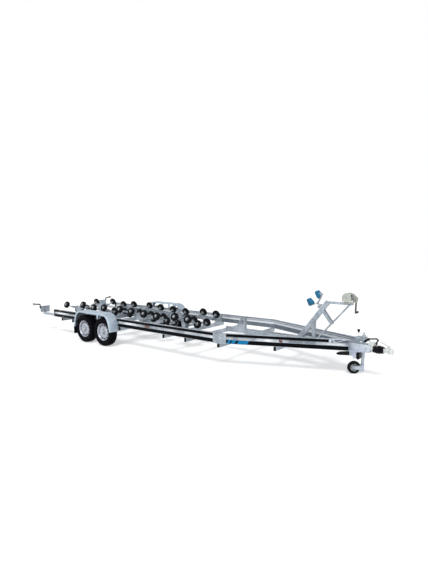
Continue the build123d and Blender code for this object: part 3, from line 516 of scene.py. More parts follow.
red_lens = lens_finish("red_lens", colour(150, 14, 18), colour(205, 36, 36))
amber_lens = lens_finish("amber_lens", colour(92, 36, 20), colour(138, 66, 40))
clear_lens = lens_finish("clear_lens", colour(206, 210, 214), colour(240, 242, 244))
print("lens finishes:", 3)

# %% [markdown]
# ## Finishing the solids that stay
# Most of the steel keeps the shape it was drawn with, so it only needs its finish. A table of name
# beginnings and finishes does this in one go, and the first beginning that fits a node wins.

# %% Give the solid nodes their finish
SOLID_FINISHES = [("rail_rear", striped), ("rail_front", striped),
                  ("overrun_bellows", gaiter_rubber), ("drawbar_base", head_zinc),
                  ("jockey_inner", head_zinc), ("jockey_fork", head_zinc),
                  ("jockey_tube", head_zinc), ("overrun_housing", cast_zinc),
                  ("coupling_head", cast_zinc), ("coupling_handle", cast_zinc),
                  ("handbrake_lever", lever_paint), ("mudguard_", guard_zinc),
                  ("tyre_", tyre_rubber), ("rim_", wheel_paint), ("tail_lamp", black_plastic),
                  ("rollers_", roller_rubber), ("bow_pads", pad_blue), ("winch_frame", winch_zinc),
                  ("winch_drum", winch_zinc), ("winch_crank", dark_steel),
                  ("jockey_knob", black_plastic), ("jockey_wheel", jockey_rubber),
                  ("chocks", black_plastic), ("", galvanised)]
for node_name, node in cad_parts.items():
    finish = next(f for start, f in SOLID_FINISHES if node_name.startswith(start))
    node.data.materials.clear()
    node.data.materials.append(finish)
print("finished", len(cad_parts), "solid nodes")

# %% [markdown]
# ## A workshop of small shapes
# Most dressing parts are turned, drawn out or bent, so four makers cover them: a lathe that
# revolves a profile, a rounded block, a bent tube and a bevelled prism. Each adds to a bmesh, so
# that many copies end up in one piece, and each works in drawing millimetres.

# %% Directions, sides and axles
DOWN, UP = Vector((0, 0, -1)), Vector((0, 0, 1))
FORWARD, BACK = Vector((1, 0, 0)), Vector((-1, 0, 0))
LEFT, RIGHT = Vector((0, 1, 0)), Vector((0, -1, 0))
SIDES = (("right", -1), ("left", 1))
AXLES = (("front", 0), ("rear", -683))


def both(low, high, side):
    """A (low, high) pair across the trailer, on one side of it."""
    return (low, high) if side > 0 else (-high, -low)


print("axles at", [x for _, x in AXLES])


# %% Lathe
def basis(axis):
    """Two unit vectors square to an axis."""
    axis = axis.normalized()
    helper = UP if abs(axis.z) < 0.9 else FORWARD
    u = (helper - axis * helper.dot(axis)).normalized()
    return u, axis.cross(u)


def circle(bm, middle, u, v, radius, steps, turn=0.0):
    """A ring of vertices about a point."""
    angles = [turn + step * math.tau / steps for step in range(steps)]
    return [bm.verts.new(middle + (u * math.cos(a) + v * math.sin(a)) * (radius / 1000))
            for a in angles]


def ring_faces(bm, ring, nxt, steps):
    """Step numbers and faces between two rings, either of which may be a single point."""
    made = []
    for step in range(steps):
        after = (step + 1) % steps
        corners = [ring[step % len(ring)], ring[after % len(ring)],
                   nxt[after % len(nxt)], nxt[step % len(nxt)]]
        corners = list(dict.fromkeys(corners))
        if len(corners) > 2:
            made.append((step, bm.faces.new(corners)))
    return made


def lathe(bm, centre, axis, profile, steps=32, turn=0.0, place=None):
    """Revolve (distance along the axis, radius, material) rows about an axis."""
    axis = axis.normalized()
    u, v = basis(axis)
    rings = []
    for distance, radius, *_ in profile:
        middle = centre + axis * (distance / 1000)
        if radius > 0:
            rings.append(circle(bm, middle, u, v, radius, steps, turn))
        else:
            rings.append([bm.verts.new(middle)])
    for ring, nxt, row in zip(rings, rings[1:], profile):
        for _, face in ring_faces(bm, ring, nxt, steps):
            face.material_index = row[2] if len(row) > 2 else 0
    if place is not None:
        bmesh.ops.transform(bm, matrix=place, verts=[v for ring in rings for v in ring])


# %% Rounded block, tube and prism
def slab(bm, x, y, z, bevel=1.5, material=0):
    """A block with rounded edges between (low, high) pairs."""
    faces_before = set(bm.faces)
    made = bmesh.ops.create_cube(bm, size=1)["verts"]
    low, high = at(x[0], y[0], z[0]), at(x[1], y[1], z[1])
    for vert in made:
        vert.co = Vector([low[i] + (vert.co[i] + 0.5) * (high[i] - low[i]) for i in range(3)])
    edges = list({edge for vert in made for edge in vert.link_edges})
    bmesh.ops.bevel(bm, geom=edges, offset=bevel / 1000, segments=2, affect="EDGES", profile=0.5)
    for face in set(bm.faces) - faces_before:
        face.material_index = material


def tube(bm, points, radius, steps=12, material=0):
    """A round bar along a path of points, closed at both ends."""
    runs = [(b - a).normalized() for a, b in zip(points, points[1:])]
    tangents = [runs[0]] + [(a + b).normalized() for a, b in zip(runs, runs[1:])] + [runs[-1]]
    u, _ = basis(tangents[0])
    rings = []
    for point, tangent in zip(points, tangents):
        u = (u - tangent * u.dot(tangent)).normalized()
        rings.append(circle(bm, point, u, tangent.cross(u), radius, steps))
    faces = [bm.faces.new(rings[0][::-1]), bm.faces.new(rings[-1])]
    for ring, nxt in zip(rings, rings[1:]):
        faces += [face for _, face in ring_faces(bm, ring, nxt, steps)]
    for face in faces:
        face.material_index = material


def prism(bm, outline, thickness, place, bevel=1.0, material=0):
    """An outline in millimetres, extruded evenly about its own plane, set down by a matrix."""
    half = thickness / 2000
    low = [bm.verts.new((x / 1000, y / 1000, -half)) for x, y in outline]
    high = [bm.verts.new((x / 1000, y / 1000, half)) for x, y in outline]
    count = len(outline)
    faces = [bm.faces.new(low[::-1]), bm.faces.new(high)]
    for i in range(count):
        j = (i + 1) % count
        faces.append(bm.faces.new([low[i], low[j], high[j], high[i]]))
    if bevel:
        edges = list(faces[0].edges) + list(faces[1].edges)
        made = bmesh.ops.bevel(bm, geom=edges, offset=bevel / 1000, segments=2, affect="EDGES",
                               profile=0.5)
        faces = list({f for f in faces if f.is_valid} | set(made["faces"]))
    for face in faces:
        face.material_index = material
    bmesh.ops.transform(bm, matrix=place, verts=list({v for f in faces for v in f.verts}))


# %% Rounded outlines, and standing them up
STOOD = Matrix.Rotation(math.radians(90), 4, "X")


def soft_corner(before, point, after, reach, steps):
    """Points of a curve that cuts off the corner at a point."""
    a, b, c = Vector(before), Vector(point), Vector(after)
    cut = min(reach, (a - b).length * 0.45, (c - b).length * 0.45)
    start, end = b + (a - b).normalized() * cut, b + (c - b).normalized() * cut
    shares = [step / steps for step in range(steps + 1)]
    return [tuple(start.lerp(b, share).lerp(b.lerp(end, share), share)) for share in shares]


def rounded(points, radius, steps=4):
    """An outline with its corners rounded off."""
    made = []
    for before, point, after in zip(points[-1:] + points[:-1], points, points[1:] + points[:1]):
        made += soft_corner(before, point, after, radius, steps)
    return made


def upright(x, y, z):
    """A matrix that stands an outline of (X, Z) points up at a point of the drawing."""
    return Matrix.Translation(at(x, y, z)) @ STOOD


# %% Turning a bmesh into a piece that rides on a body
def make_piece(name, bm, finishes, body, smooth=40):
    """Close off a bmesh as one named piece, smooth-shaded up to an angle, riding on a body."""
    bmesh.ops.recalc_face_normals(bm, faces=bm.faces)
    mesh = bpy.data.meshes.new(name)
    bm.to_mesh(mesh)
    bm.free()
    for finish in finishes:
        mesh.materials.append(finish)
    mesh.shade_smooth()
    mesh.set_sharp_from_angle(angle=math.radians(smooth))
    piece = bpy.data.objects.new(name, mesh)
    bpy.context.scene.collection.objects.link(piece)
    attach(piece, body)
    triangles = sum(len(p.vertices) - 2 for p in mesh.polygons)
    print(f"{name}: {triangles} triangles")
    return piece


# %% Fasteners
def bolt(bm, point, axis, size=8, stub=0):
    """Hexagon head on a washer, or a nut with the thread's end showing, seen from outside."""
    washer = [(0, 0), (0, size * 1.25), (size * 0.2, size * 1.25), (size * 0.25, size * 1.1)]
    lathe(bm, point, axis, washer, 20)
    foot, shoulder = size * 0.22, size * 0.84
    head = [(foot, size), (shoulder, size), (size, size * 0.86), (size, 0)]
    lathe(bm, point, axis, head, 6, turn=0.3)
    if stub:
        end = size + stub
        thread = [(foot, size * 0.5), (end, size * 0.5), (end + 1, size * 0.42), (end + 1, 0)]
        lathe(bm, point, axis, thread, 12)


# %% [markdown]
# ## Tyres
# The four road tyres have a square shoulder, four long grooves and cross-cut shoulder blocks. The
# drawn tyre is a smooth body, so each one is replaced by a turned mesh whose rings alternate
# between block and gap. Rings close together make the steep walls of the gaps, and the
# circumferential grooves are simply steps in the profile.

# %% Tyre mesh
TYRE_RADIUS = 314.5
WHEEL_Y = 1124.5
TREAD_HALF = [
    # across the tyre, radius, cut by a cross groove
    (0, 314.4, 0), (14, 314.2, 0), (15, 307.5, 0), (21, 307.3, 0), (22, 314.0, 0), (34, 313.6, 3),
    (45, 313.0, 3), (46, 306.5, 0), (52, 306.0, 0), (53, 312.2, 5), (66, 309.6, 6), (74, 305.8, 6),
    (80, 300.5, 5), (84.5, 293, 3), (88, 286, 0), (92.5, 274, 0), (93.5, 272, 0), (95.5, 270, 0),
    (95.8, 262, 0), (94.8, 260, 0), (97.4, 246, 0), (95.6, 232, 0), (91.5, 219, 0), (87, 209, 0),
    (86, 205, 0), (82.5, 203, 0), (78.5, 198, 0), (71.5, 193, 0), (69.6, 186, 0), (69.4, 178.4, 0),
]
PITCHES = 66


def tyre_mesh(name, x, side, body):
    """One tyre: every pitch of the tread has two rings for the block and two for the gap."""
    bm = bmesh.new()
    centre = at(x, side * WHEEL_Y, TYRE_RADIUS)
    profile = [(-y, r, cut) for y, r, cut in TREAD_HALF[:0:-1]] + TREAD_HALF
    rings = []
    for pitch in range(PITCHES):
        for share, cut_here in ((0.0, 0), (0.76, 0), (0.82, 1), (0.94, 1)):
            ring = []
            for y, r, cut in profile:
                stagger = 0.5 if y < 0 else 0.0
                angle = (pitch + share + stagger) * math.tau / PITCHES
                radius = (r - cut * cut_here) / 1000
                reach = Vector((radius * math.sin(angle), y / 1000, radius * math.cos(angle)))
                ring.append(bm.verts.new(centre + reach))
            rings.append(ring)
    for ring, nxt in zip(rings, rings[1:] + rings[:1]):
        for i in range(len(profile) - 1):
            bm.faces.new([ring[i], ring[i + 1], nxt[i + 1], nxt[i]])
        bm.faces.new([ring[-1], ring[0], nxt[0], nxt[-1]])
    return make_piece(name, bm, [tyre_rubber], body, smooth=32)


for end, axle_x in AXLES:
    for side_name, side in SIDES:
        body = f"wheel_{end}_{side_name}"
        piece = tyre_mesh(f"tread_tyre_{end}_{side_name}", axle_x, side, body)
        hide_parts(f"tyre_{end}_{side_name}")

# %% [markdown]
# ## Wheels
# A pressed steel wheel is a rolled rim with a disc welded into it. The disc rises to a ring, sinks
# to the seat of the nuts, and is cooled through slots at its edge. Here one profile is turned
# through many small steps, and inside each slot the rows that belong to it are pushed back and
# given the dark drum finish as painted shade. A thin ring of the same finish round the hub is
# painted shade too. The brake drum behind is part of the same turned shape. Five nuts on conical
# seats, a dust cap and a valve are added on top, the seats dark with painted shade.

# %% Pressed wheel with slots
WHEEL_ROWS = [
    # distance outwards from the middle of the tyre, radius, finish, depth of the slots;
    # finish 0 is paint, 1 is the dark drum finish, which is painted shade where it rings the hub,
    # and 2 is that dark finish inside the slots alone, as painted shade
    (-70.3, 178, 0, 0), (-70.3, 189.5, 0, 0), (-73, 190.2, 0, 0), (-75.8, 188.5, 0, 0),
    (-76, 185, 0, 0), (-72.5, 181, 0, 0), (-70, 176, 0, 0), (-62, 172, 0, 0), (-30, 170, 0, 0),
    (28, 169, 0, 0), (36, 164, 1, 0), (38, 128, 1, 0), (34, 125, 1, 0), (-66, 125, 1, 0),
    (-68, 129, 1, 0), (-74, 129, 1, 0), (-74, 20.2, 1, 0), (57, 20.2, 0, 0), (57, 0, 0, 0),
    (89.5, 0, 0, 0), (89.5, 35.5, 0, 0), (66, 38, 0, 0), (60, 42, 1, 0), (56, 45, 0, 0),
    (55.5, 66, 0, 0), (53, 72, 0, 0), (51.5, 79, 0, 0), (54, 87, 0, 0), (59, 95, 0, 0),
    (61, 104, 0, 0), (60, 114, 0, 0), (56.5, 123, 0, 0), (53, 131, 0, 0), (52, 133, 2, 0),
    (51, 135, 2, 15), (50, 150, 2, 15), (46, 162, 2, 15), (46, 164, 0, 0), (44, 167, 0, 0),
    (46, 170, 0, 0), (60, 172.5, 0, 0), (68, 176, 0, 0), (71, 180.5, 0, 0), (73.5, 184, 0, 0),
    (76, 186, 0, 0), (75.8, 189, 0, 0), (73, 190.2, 0, 0), (70.3, 189.5, 0, 0), (70.3, 178, 0, 0),
]
SLOTS, STEPS_PER_SLOT = 12, 12
SLOT_FIRST, SLOT_LAST = 2, 8


def pressed_wheel(bm, centre, out):
    """Turned rim, disc and drum; the middle steps of every slot are set back."""
    u, v = basis(out)
    steps = SLOTS * STEPS_PER_SLOT
    rings = []
    for distance, radius, _, depth in WHEEL_ROWS:
        ring = []
        for step in range(steps if radius else 1):
            inside = SLOT_FIRST <= step % STEPS_PER_SLOT <= SLOT_LAST
            middle = centre + out * ((distance - (depth if inside else 0)) / 1000)
            angle = step * math.tau / steps
            reach = (u * math.cos(angle) + v * math.sin(angle)) * (radius / 1000)
            ring.append(bm.verts.new(middle + reach))
        rings.append(ring)
    for ring, nxt, row in zip(rings, rings[1:], WHEEL_ROWS):
        for step, face in ring_faces(bm, ring, nxt, steps):
            in_slot = SLOT_FIRST - 1 <= step % STEPS_PER_SLOT <= SLOT_LAST
            face.material_index = (1 if in_slot else 0) if row[2] == 2 else row[2]


WHEEL_NUTS, NUT_RADIUS, VALVE_RADIUS, VALVE_ANGLE = 5, 0.056, 0.166, 0.31  # metres, radians
DUST_CAP = [(88, 35.8), (90.5, 34), (91, 29), (97, 28.6), (101, 26), (104, 18), (105, 8), (105, 0)]
VALVE = [(44, 7.5, 1), (48, 7, 1), (52, 4.5, 1), (66, 4, 1), (67, 4.8, 1), (76, 4.8, 1),
         (78, 3.6, 1), (78, 0, 1)]


def wheel_fittings(name, x, side, body):
    """Nuts, washers, dust cap and valve of one wheel."""
    bm = bmesh.new()
    hub = at(x, side * WHEEL_Y, TYRE_RADIUS)
    out = Vector((0, side, 0))
    lathe(bm, hub, out, DUST_CAP, 36)
    for nut in range(WHEEL_NUTS):
        angle = nut * math.tau / WHEEL_NUTS + 0.4
        spot = hub + Vector((math.cos(angle) * NUT_RADIUS, 0, math.sin(angle) * NUT_RADIUS))
        # The conical seats take the dark drum finish as painted shade
        lathe(bm, spot, out, [(55, 14, 2), (57.5, 13.5, 2), (58.5, 10.5, 2)], 20)
        lathe(bm, spot, out, [(57, 11), (70, 11), (72.5, 9), (72.5, 5.4)], 6, turn=angle)
        lathe(bm, spot, out, [(66, 5.8), (76, 5.6), (77, 4.6), (77, 0)], 12)
    reach = Vector((math.sin(VALVE_ANGLE), 0, math.cos(VALVE_ANGLE))) * VALVE_RADIUS
    lathe(bm, hub + reach, out, VALVE, 14)
    return make_piece(name, bm, [bright_zinc, black_plastic, drum_and_shade_steel], body)


for end, axle_x in AXLES:
    for side_name, side in SIDES:
        body = f"wheel_{end}_{side_name}"
        bm = bmesh.new()
        pressed_wheel(bm, at(axle_x, side * WHEEL_Y, TYRE_RADIUS), Vector((0, side, 0)))
        piece = make_piece(f"pressed_wheel_{end}_{side_name}", bm, [wheel_paint, drum_and_shade_steel], body,
                           smooth=50)
        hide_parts(f"rim_{end}_{side_name}")
        wheel_fittings(f"wheel_fittings_{end}_{side_name}", axle_x, side, body)

# %% [markdown]
# ## Hull rollers
# The black rollers carry the hull, in pairs on each side of an arm. A real one is a soft rubber
# tyre with shallow ribs, bonded to a grey nylon hub that turns on a plated pin. The profile is
# turned once for each place, and each place comes from the same small table that the frame was
# drawn from.

# %% Roller places
# X of the pivot, distances of the roller pins from it, tilt in degrees
CRADLES = [(-2100, (370,), -4.0), (-1070, (210,), -4.0), (330, (210, 620), 2.5),
           (1670, (185,), 3.0)]
PIVOT_Z, ROW_Y, ROLLER_SPREAD, ROLLER_LIFT, DEADRISE = 510, 371, 175, 126, 24


def arm_matrix(index, side):
    """The frame of one rocking arm, its origin on the pivot line."""
    pivot_x, _, tilt = CRADLES[index]
    return (Matrix.Translation(at(pivot_x, 0, PIVOT_Z))
            @ Matrix.Rotation(math.radians(tilt), 4, "Y")
            @ Matrix.Translation((0, side * ROW_Y / 1000, 0))
            @ Matrix.Rotation(math.radians(side * DEADRISE), 4, "X"))


def pin_places(index):
    """Distance of every roller pin before or behind the pivot."""
    return [sign * reach for reach in CRADLES[index][1] for sign in (-1, 1)]


def roller_matrices(index):
    """The place of every roller of one cradle."""
    for side in (-1, 1):
        for x in pin_places(index):
            for y in (-ROLLER_SPREAD, ROLLER_SPREAD):
                spot = Vector((x, y, ROLLER_LIFT)) / 1000
                yield arm_matrix(index, side) @ Matrix.Translation(spot)


print("rollers on each cradle:", [len(list(roller_matrices(i))) for i in range(len(CRADLES))])

# %% Roller mesh
HUB_SPOKES, SPOKE_RADIUS, SPOKE_DEPTH, SPOKE_SIZE = 6, 23.5, 31.25, (12, 5.5, 4)
RIB_ROWS = [(-16, 89.2), (-15, 87.6), (-11, 87.6), (-10, 89.8), (-3, 90), (-2, 88.4), (2, 88.4),
            (3, 90), (10, 89.8), (11, 87.6), (15, 87.6), (16, 89.2)]
HALF_FACE = [(24, 87.6), (30, 83.5), (34, 77), (35, 70), (35, 66), (33.5, 64), (33.5, 44), (35, 41),
             (35, 36)]
HALF_ROWS = HALF_FACE[::-1]
RUBBER_ROWS = [(-d, r, 0) for d, r in HALF_ROWS] + [(d, r, 0) for d, r in RIB_ROWS + HALF_FACE]
HUB_ROWS = [(34, 36.4), (35, 34), (35, 30), (31, 28), (31, 18.5), (34.8, 17.5), (34.8, 11.2)]
for index in range(len(CRADLES)):
    bm = bmesh.new()
    for place in roller_matrices(index):
        lathe(bm, Vector(), LEFT, RUBBER_ROWS, 48, place=place)
        for way in (LEFT, RIGHT):
            lathe(bm, Vector(), way, [(d, r, 1) for d, r in HUB_ROWS], 32, place=place)
            for spoke in range(HUB_SPOKES):
                turn = Matrix.Rotation(spoke * math.tau / HUB_SPOKES, 4, "Y")
                middle = Vector((SPOKE_RADIUS, way.y * SPOKE_DEPTH, 0))
                made = bmesh.ops.create_cube(bm, size=1)["verts"]
                for vert in made:
                    corner = Vector([vert.co[i] * SPOKE_SIZE[i] for i in range(3)])
                    vert.co = (middle + corner) / 1000
                for face in {f for v in made for f in v.link_faces}:
                    face.material_index = 1
                bmesh.ops.transform(bm, matrix=place @ turn, verts=made)
    piece = make_piece(f"ribbed_rollers_{index + 1}", bm, [roller_rubber, hub_plastic],
                       f"cradle_body_{index + 1}")
    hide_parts(f"rollers_{index + 1}")

# %% Nuts on the roller pins and bolts on the arms
PIN_END, ARM_FACE = ROLLER_SPREAD + 46, 28
for index in range(len(CRADLES)):
    bm = bmesh.new()
    for side in (-1, 1):
        place = arm_matrix(index, side)
        turned = place.to_3x3()
        for x in pin_places(index):
            for way in (-1, 1):
                out = turned @ Vector((0, way, 0))
                end = place @ Vector((x / 1000, way * PIN_END / 1000, ROLLER_LIFT / 1000))
                bolt(bm, end, out, size=10, stub=4)
                near = place @ Vector((x / 1000, way * ARM_FACE / 1000, ROLLER_LIFT / 1000))
                lathe(bm, near, out, [(0, 16), (14, 16), (14, 11.5)], 6, turn=0.2)
        for x in (-40, 40):
            for way in (-1, 1):
                spot = place @ Vector((x / 1000, way * ARM_FACE / 1000, (ROLLER_LIFT - 60) / 1000))
                bolt(bm, spot, turned @ Vector((0, way, 0)), size=8)
    make_piece(f"cradle_nuts_{index + 1}", bm, [bright_zinc], f"cradle_body_{index + 1}")

# %% [markdown]
# ## End caps
# Open steel profiles are closed with black plastic caps, so that nobody is cut and no water stands
# in them. Each cross-member has one at both ends. At the tail of a rail the cap fills the upper
# half of the open end and lines the lower half with thin strips.

# %% Black caps on the profiles
RAIL_REAR, MEMBER_WIDTH, MEMBER_Z = -2252, 45, (359, 437.6)
# X of the rear face, half of the length
MEMBER_ENDS = [(-1922.5, 1000), (-1092.5, 1000), (307.5, 1000), (1647.5, 1000), (-1470, 1000),
               (2230, 1000), (3015, 997), (3945, 619)]
# across the trailer, height
RAIL_CAP = (((945, 1005.5), (509, 620.5)), ((945, 1005.5), (437.5, 442)),
            ((996, 1005.5), (438, 512)), ((944.5, 953), (438, 512)))
bm = bmesh.new()
for _, side in SIDES:
    for x, half in MEMBER_ENDS:
        ends = both(half - 10, half + 3, side)
        slab(bm, (x - 0.5, x + MEMBER_WIDTH + 0.5), ends, MEMBER_Z, bevel=2)
    for y, z in RAIL_CAP:
        slab(bm, (RAIL_REAR - 4, RAIL_REAR + 3), both(*y, side), z, bevel=1)
make_piece("profile_caps", bm, [black_plastic], "frame")

# %% [markdown]
# ## Mudguards
# A guard is one strip of sheet, bent round both wheels, with its outer edge turned down and rolled
# into a bead. Its section is a short list of points across the trailer. The section is swept along
# a path whose corners are rounded, and each point moves square to the path, so the sheet keeps its
# thickness in the bends.

# %% Sheet of a guard
GUARD_MIDDLE = AXLES[1][1] / 2
GUARD_HALF = [(668, 348), (659, 420), (626, 560), (560, 680), (455, 735)]
# across the trailer, depth below the path
GUARD_SECTION = [(1246.5, 35), (1246.2, 39.4), (1249, 41), (1252, 39.6), (1252.4, 36), (1252.4, 6),
                 (1251, 1.8), (1247, 0), (1130, 0), (1016, 0), (1012.4, 1.2), (1011, 4.5),
                 (1011, 18), (1014, 18), (1014, 6), (1016, 3.4), (1130, 3.2), (1246, 3.2),
                 (1249.4, 6), (1249.4, 35)]


def bent_path(points, reach=52, steps=6):
    """An open path with its inner corners rounded."""
    made = [points[0]]
    for before, point, after in zip(points, points[1:], points[2:]):
        made += soft_corner(before, point, after, reach, steps)
    return made + [points[-1]]


def guard_sheet(bm, side):
    """The section of one guard swept along its path."""
    path = bent_path([(GUARD_MIDDLE - x, z) for x, z in GUARD_HALF]
                     + [(GUARD_MIDDLE + x, z) for x, z in GUARD_HALF[::-1]])
    rings = []
    for before, point, after in zip(path[:1] + path[:-1], path, path[1:] + path[-1:]):
        run = (Vector(after) - Vector(before)).normalized()
        inward = Vector((run.y, -run.x))
        ring = []
        for y, depth in GUARD_SECTION:
            x, z = point[0] + inward.x * depth, point[1] + inward.y * depth
            ring.append(bm.verts.new(at(x, side * y, z)))
        rings.append(ring)
    bm.faces.new(rings[0])
    bm.faces.new(rings[-1])
    for ring, nxt in zip(rings, rings[1:]):
        ring_faces(bm, ring, nxt, len(GUARD_SECTION))


print("points in the section:", len(GUARD_SECTION))

# %% Guards with their brackets and the stay between the tyres
STAY_X, BRACKET_REACH = -108, 400
BOLTED = (GUARD_MIDDLE - BRACKET_REACH, GUARD_MIDDLE, GUARD_MIDDLE + BRACKET_REACH)
for side_name, side in SIDES:
    bm = bmesh.new()
    guard_sheet(bm, side)
    for x in sorted((*BOLTED, STAY_X)):
        slab(bm, (x - 25, x + 25), both(1005.5, 1011, side), (560, 732), bevel=1.2)
        slab(bm, (x - 25, x + 25), both(1005.5, 1040, side), (727, 732.5), bevel=1)
    slab(bm, (STAY_X - 20, STAY_X + 20), both(1005.5, 1246, side), (640, 646), bevel=1.2)
    slab(bm, (STAY_X - 20, STAY_X + 20), both(1244, 1249.2, side), (604, 700), bevel=1.2)
    for x in BOLTED:
        for reach in (-17, 17):
            bolt(bm, at(x + reach, side * 1024, 735), UP, size=5.5)
    piece = make_piece(f"rolled_mudguard_{side_name}", bm, [guard_zinc], "frame")
    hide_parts(f"mudguard_{side_name}")

# %% [markdown]
# ## Drawbar head
# Where the rails meet, a narrow plate lies on each top flange, a folded brace is set on each web,
# and a lid closes the box between the two cheeks that hold the coupling. The chocks sit in a
# bracket of folded sheet below, whose sides are cut back in steps. Plates that follow a rail are
# drawn flat, as height against distance along the rail, and one matrix per side turns them into
# place.

# %% Plates along the rails
HEAD_START, HEAD_END = 4797, 5078
# distance along the rail, height: end strap, two braces and the edge of the top plate
WEB_PLATES = ([(0, 566), (0, 620), (40, 620), (40, 566)],
              [(34, 620), (58, 620), (112, 572), (100, 562), (88, 568)],
              [(96, 562), (110, 574), (258, 620), (286, 620)],
              [(0, 614), (0, 620), (288, 620), (288, 614)])


def on_rail(side):
    """A matrix that lays (along, height) outlines on the outer web of one front rail."""
    foot = at(HEAD_START, side * (rail_y(HEAD_START) + 2.6), 0)
    run = Vector((math.cos(RAIL_LEAN), -side * math.sin(RAIL_LEAN), 0))
    turned = Matrix((run, UP, run.cross(UP))).transposed().to_4x4()
    return Matrix.Translation(foot) @ turned


bm = bmesh.new()
for _, side in SIDES:
    for outline in WEB_PLATES:
        prism(bm, outline, 5.2, on_rail(side), bevel=1)
    edge = [(x, side * (rail_y(x) + 4)) for x in (HEAD_START, HEAD_END)]
    flange = edge + [(x, y - side * 60) for x, y in edge[::-1]]
    if side > 0:
        flange.reverse()
    prism(bm, flange, 4.6, Matrix.Translation(at(0, 0, 622.4)), bevel=1.2)
piece = make_piece("drawbar_head_plates", bm, [head_zinc], "frame")
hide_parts("drawbar_cap")

# %% Lid between the cheeks
bm = bmesh.new()
slab(bm, (4900, 5326), (-64.5, 64.5), (549, 555.5), bevel=1.4)
slab(bm, (4900, 4906), (-64.5, 64.5), (470, 552), bevel=1.4)
make_piece("drawbar_head_lid", bm, [galvanised], "frame")

# %% Bracket for the chocks
HOLDER_SIDE = [(5066, 432), (5178, 432), (5178, 334), (5162, 300), (5128, 300), (5120, 344),
               (5066, 354)]
# length, height of the four folds between the sides
HOLDER_FOLDS = (((5065, 5178), (427, 432)), ((5065, 5070), (376, 430)),
                ((5173, 5178), (338, 430)), ((5130, 5160), (300, 305)))
bm = bmesh.new()
for side in (-1, 1):
    prism(bm, rounded(HOLDER_SIDE, 6), 5, upright(0, side * 67.4, 0), bevel=1)
for x, z in HOLDER_FOLDS:
    slab(bm, x, (-69, 69), z, bevel=1.2)
piece = make_piece("stepped_chock_holder", bm, [head_zinc], "frame")
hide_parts("chock_holder")

# %% [markdown]
# ## Mud flaps and bolts
# The mud flaps hang behind the rear wheels, with five ribs across their backs. Bolts follow the
# joints of the chassis: the splice at each bend, the plates and cheeks of the drawbar head, the
# axle saddles, the cross-members and the winch stand.

# %% Mud flaps
FLAP_OUTLINE = [(-1017.5, 176), (-1007.3, 176), (-1006.9, 346), (-1009.9, 347), (-1004.3, 394),
                (-1012.1, 394), (-1017.5, 349)]
for side_name, side in SIDES:
    bm = bmesh.new()
    prism(bm, FLAP_OUTLINE, 236, upright(0, side * 1131.8, 0), bevel=1.5)
    for rib in range(5):
        z = 196 + rib * 26
        slab(bm, (-1019.5, -1016.5), both(1036, 1228, side), (z, z + 7), bevel=1)
    for y in (1050, 1132, 1214):
        bolt(bm, at(-1013.5, side * y, 380), BACK, size=5)
    make_piece(f"mud_flap_{side_name}", bm, [flap_rubber], "frame")

# %% Bolts of the rails, the head and the axles
STEM = Vector((-0.614, 0, 0.789))  # leans back like the bow of a boat
BOW_PIN = at(4457, 0, 1160)
bm = bmesh.new()
for _, side in SIDES:
    sideways = Vector((0, side, 0))
    along = Vector((BEND_RUN, -side * BEND_RISE, 0)).normalized()
    out = Vector((BEND_RISE, side * BEND_RUN, 0)).normalized()
    for z in (468, 592):
        for x in (2952, 3022):
            bolt(bm, at(x, side * (RAIL_Y + 6), z), sideways, size=8)
        for reach in (0.038, 0.108):
            bolt(bm, at(BEND_X, side * RAIL_Y, z) + along * reach + out * 0.006, out, size=8)
    for x in (4850, 4960, 5062):
        bolt(bm, at(x, side * (rail_y(x) - 30), 624.7), UP, size=8)
    for x in (5040, 5330):
        bolt(bm, at(x, side * 72, 490), sideways, size=11, stub=3)
    for x in (4850, 4950, 5150, 5230):
        bolt(bm, at(x, side * 72, 530), sideways, size=7)
    for _, axle_x in AXLES:
        for x in (axle_x + 74, axle_x + 206):
            bolt(bm, at(x, side * 962, 435), DOWN, size=10, stub=8)
    for x in (4075, 4270, 4545):
        bolt(bm, at(x, side * 78, 546), UP, size=9, stub=4)
    for x in (RAIL_REAR + 35, RAIL_REAR + 405):
        bolt(bm, at(x, side * RAIL_Y, 470), sideways, size=9)
    for rear_face, half in MEMBER_ENDS:
        if half == 1000:  # the members that reach from rail to rail
            for y, z, size in ((905, 399, 8), (780, 399, 8), (930, 470, 6), (915, 570, 6)):
                bolt(bm, at(rear_face + MEMBER_WIDTH, side * y, z), FORWARD, size=size)
    for x in (4680, 5360):
        bolt(bm, at(x, side * 50, 432), DOWN, size=8)
bolt(bm, BOW_PIN + STEM * 0.0172, STEM, size=13, stub=5)
for x, z in ((4722, 834), (4502, 1117)):
    for way in (-1, 1):
        bolt(bm, at(x, way * 37, z), Vector((0, way, 0)), size=11, stub=4)
for x in (4926, 5040):
    for y in (-22, 22):
        bolt(bm, at(x, y, 1214), UP, size=7)
make_piece("chassis_bolts", bm, [bright_zinc], "frame")

# %% [markdown]
# ## Side markers
# Amber lamps sit in the bright fold of the rails, one near the back and one on the drawbar part,
# with a small reflector further back in the upper stripe. Each is a black base with a slightly
# smaller lens.


# %% Lamps and reflectors along the sides
def side_lamp(bm, x, z, length, height, depth, recess, side):
    """Base and lens on a rail. Past the bend both sides are turned by the left rail's lean."""
    lean = -RAIL_LEAN if x > BEND_X else 0.0
    turn = Matrix.Translation(at(x, side * (rail_y(x) - recess), z)) @ Matrix.Rotation(lean, 4, "Z")
    for grow, low, high, material in ((0, 0, depth * 0.5, 1), (-2.5, depth * 0.4, depth, 0)):
        right, top = length / 2 + grow, height / 2 + grow
        outline = [(-right, -top), (right, -top), (right, top), (-right, top)]
        place = turn @ Matrix.Translation((0, side * (low + high) / 2000, 0)) @ STOOD
        prism(bm, outline, high - low, place, bevel=1.4, material=material)


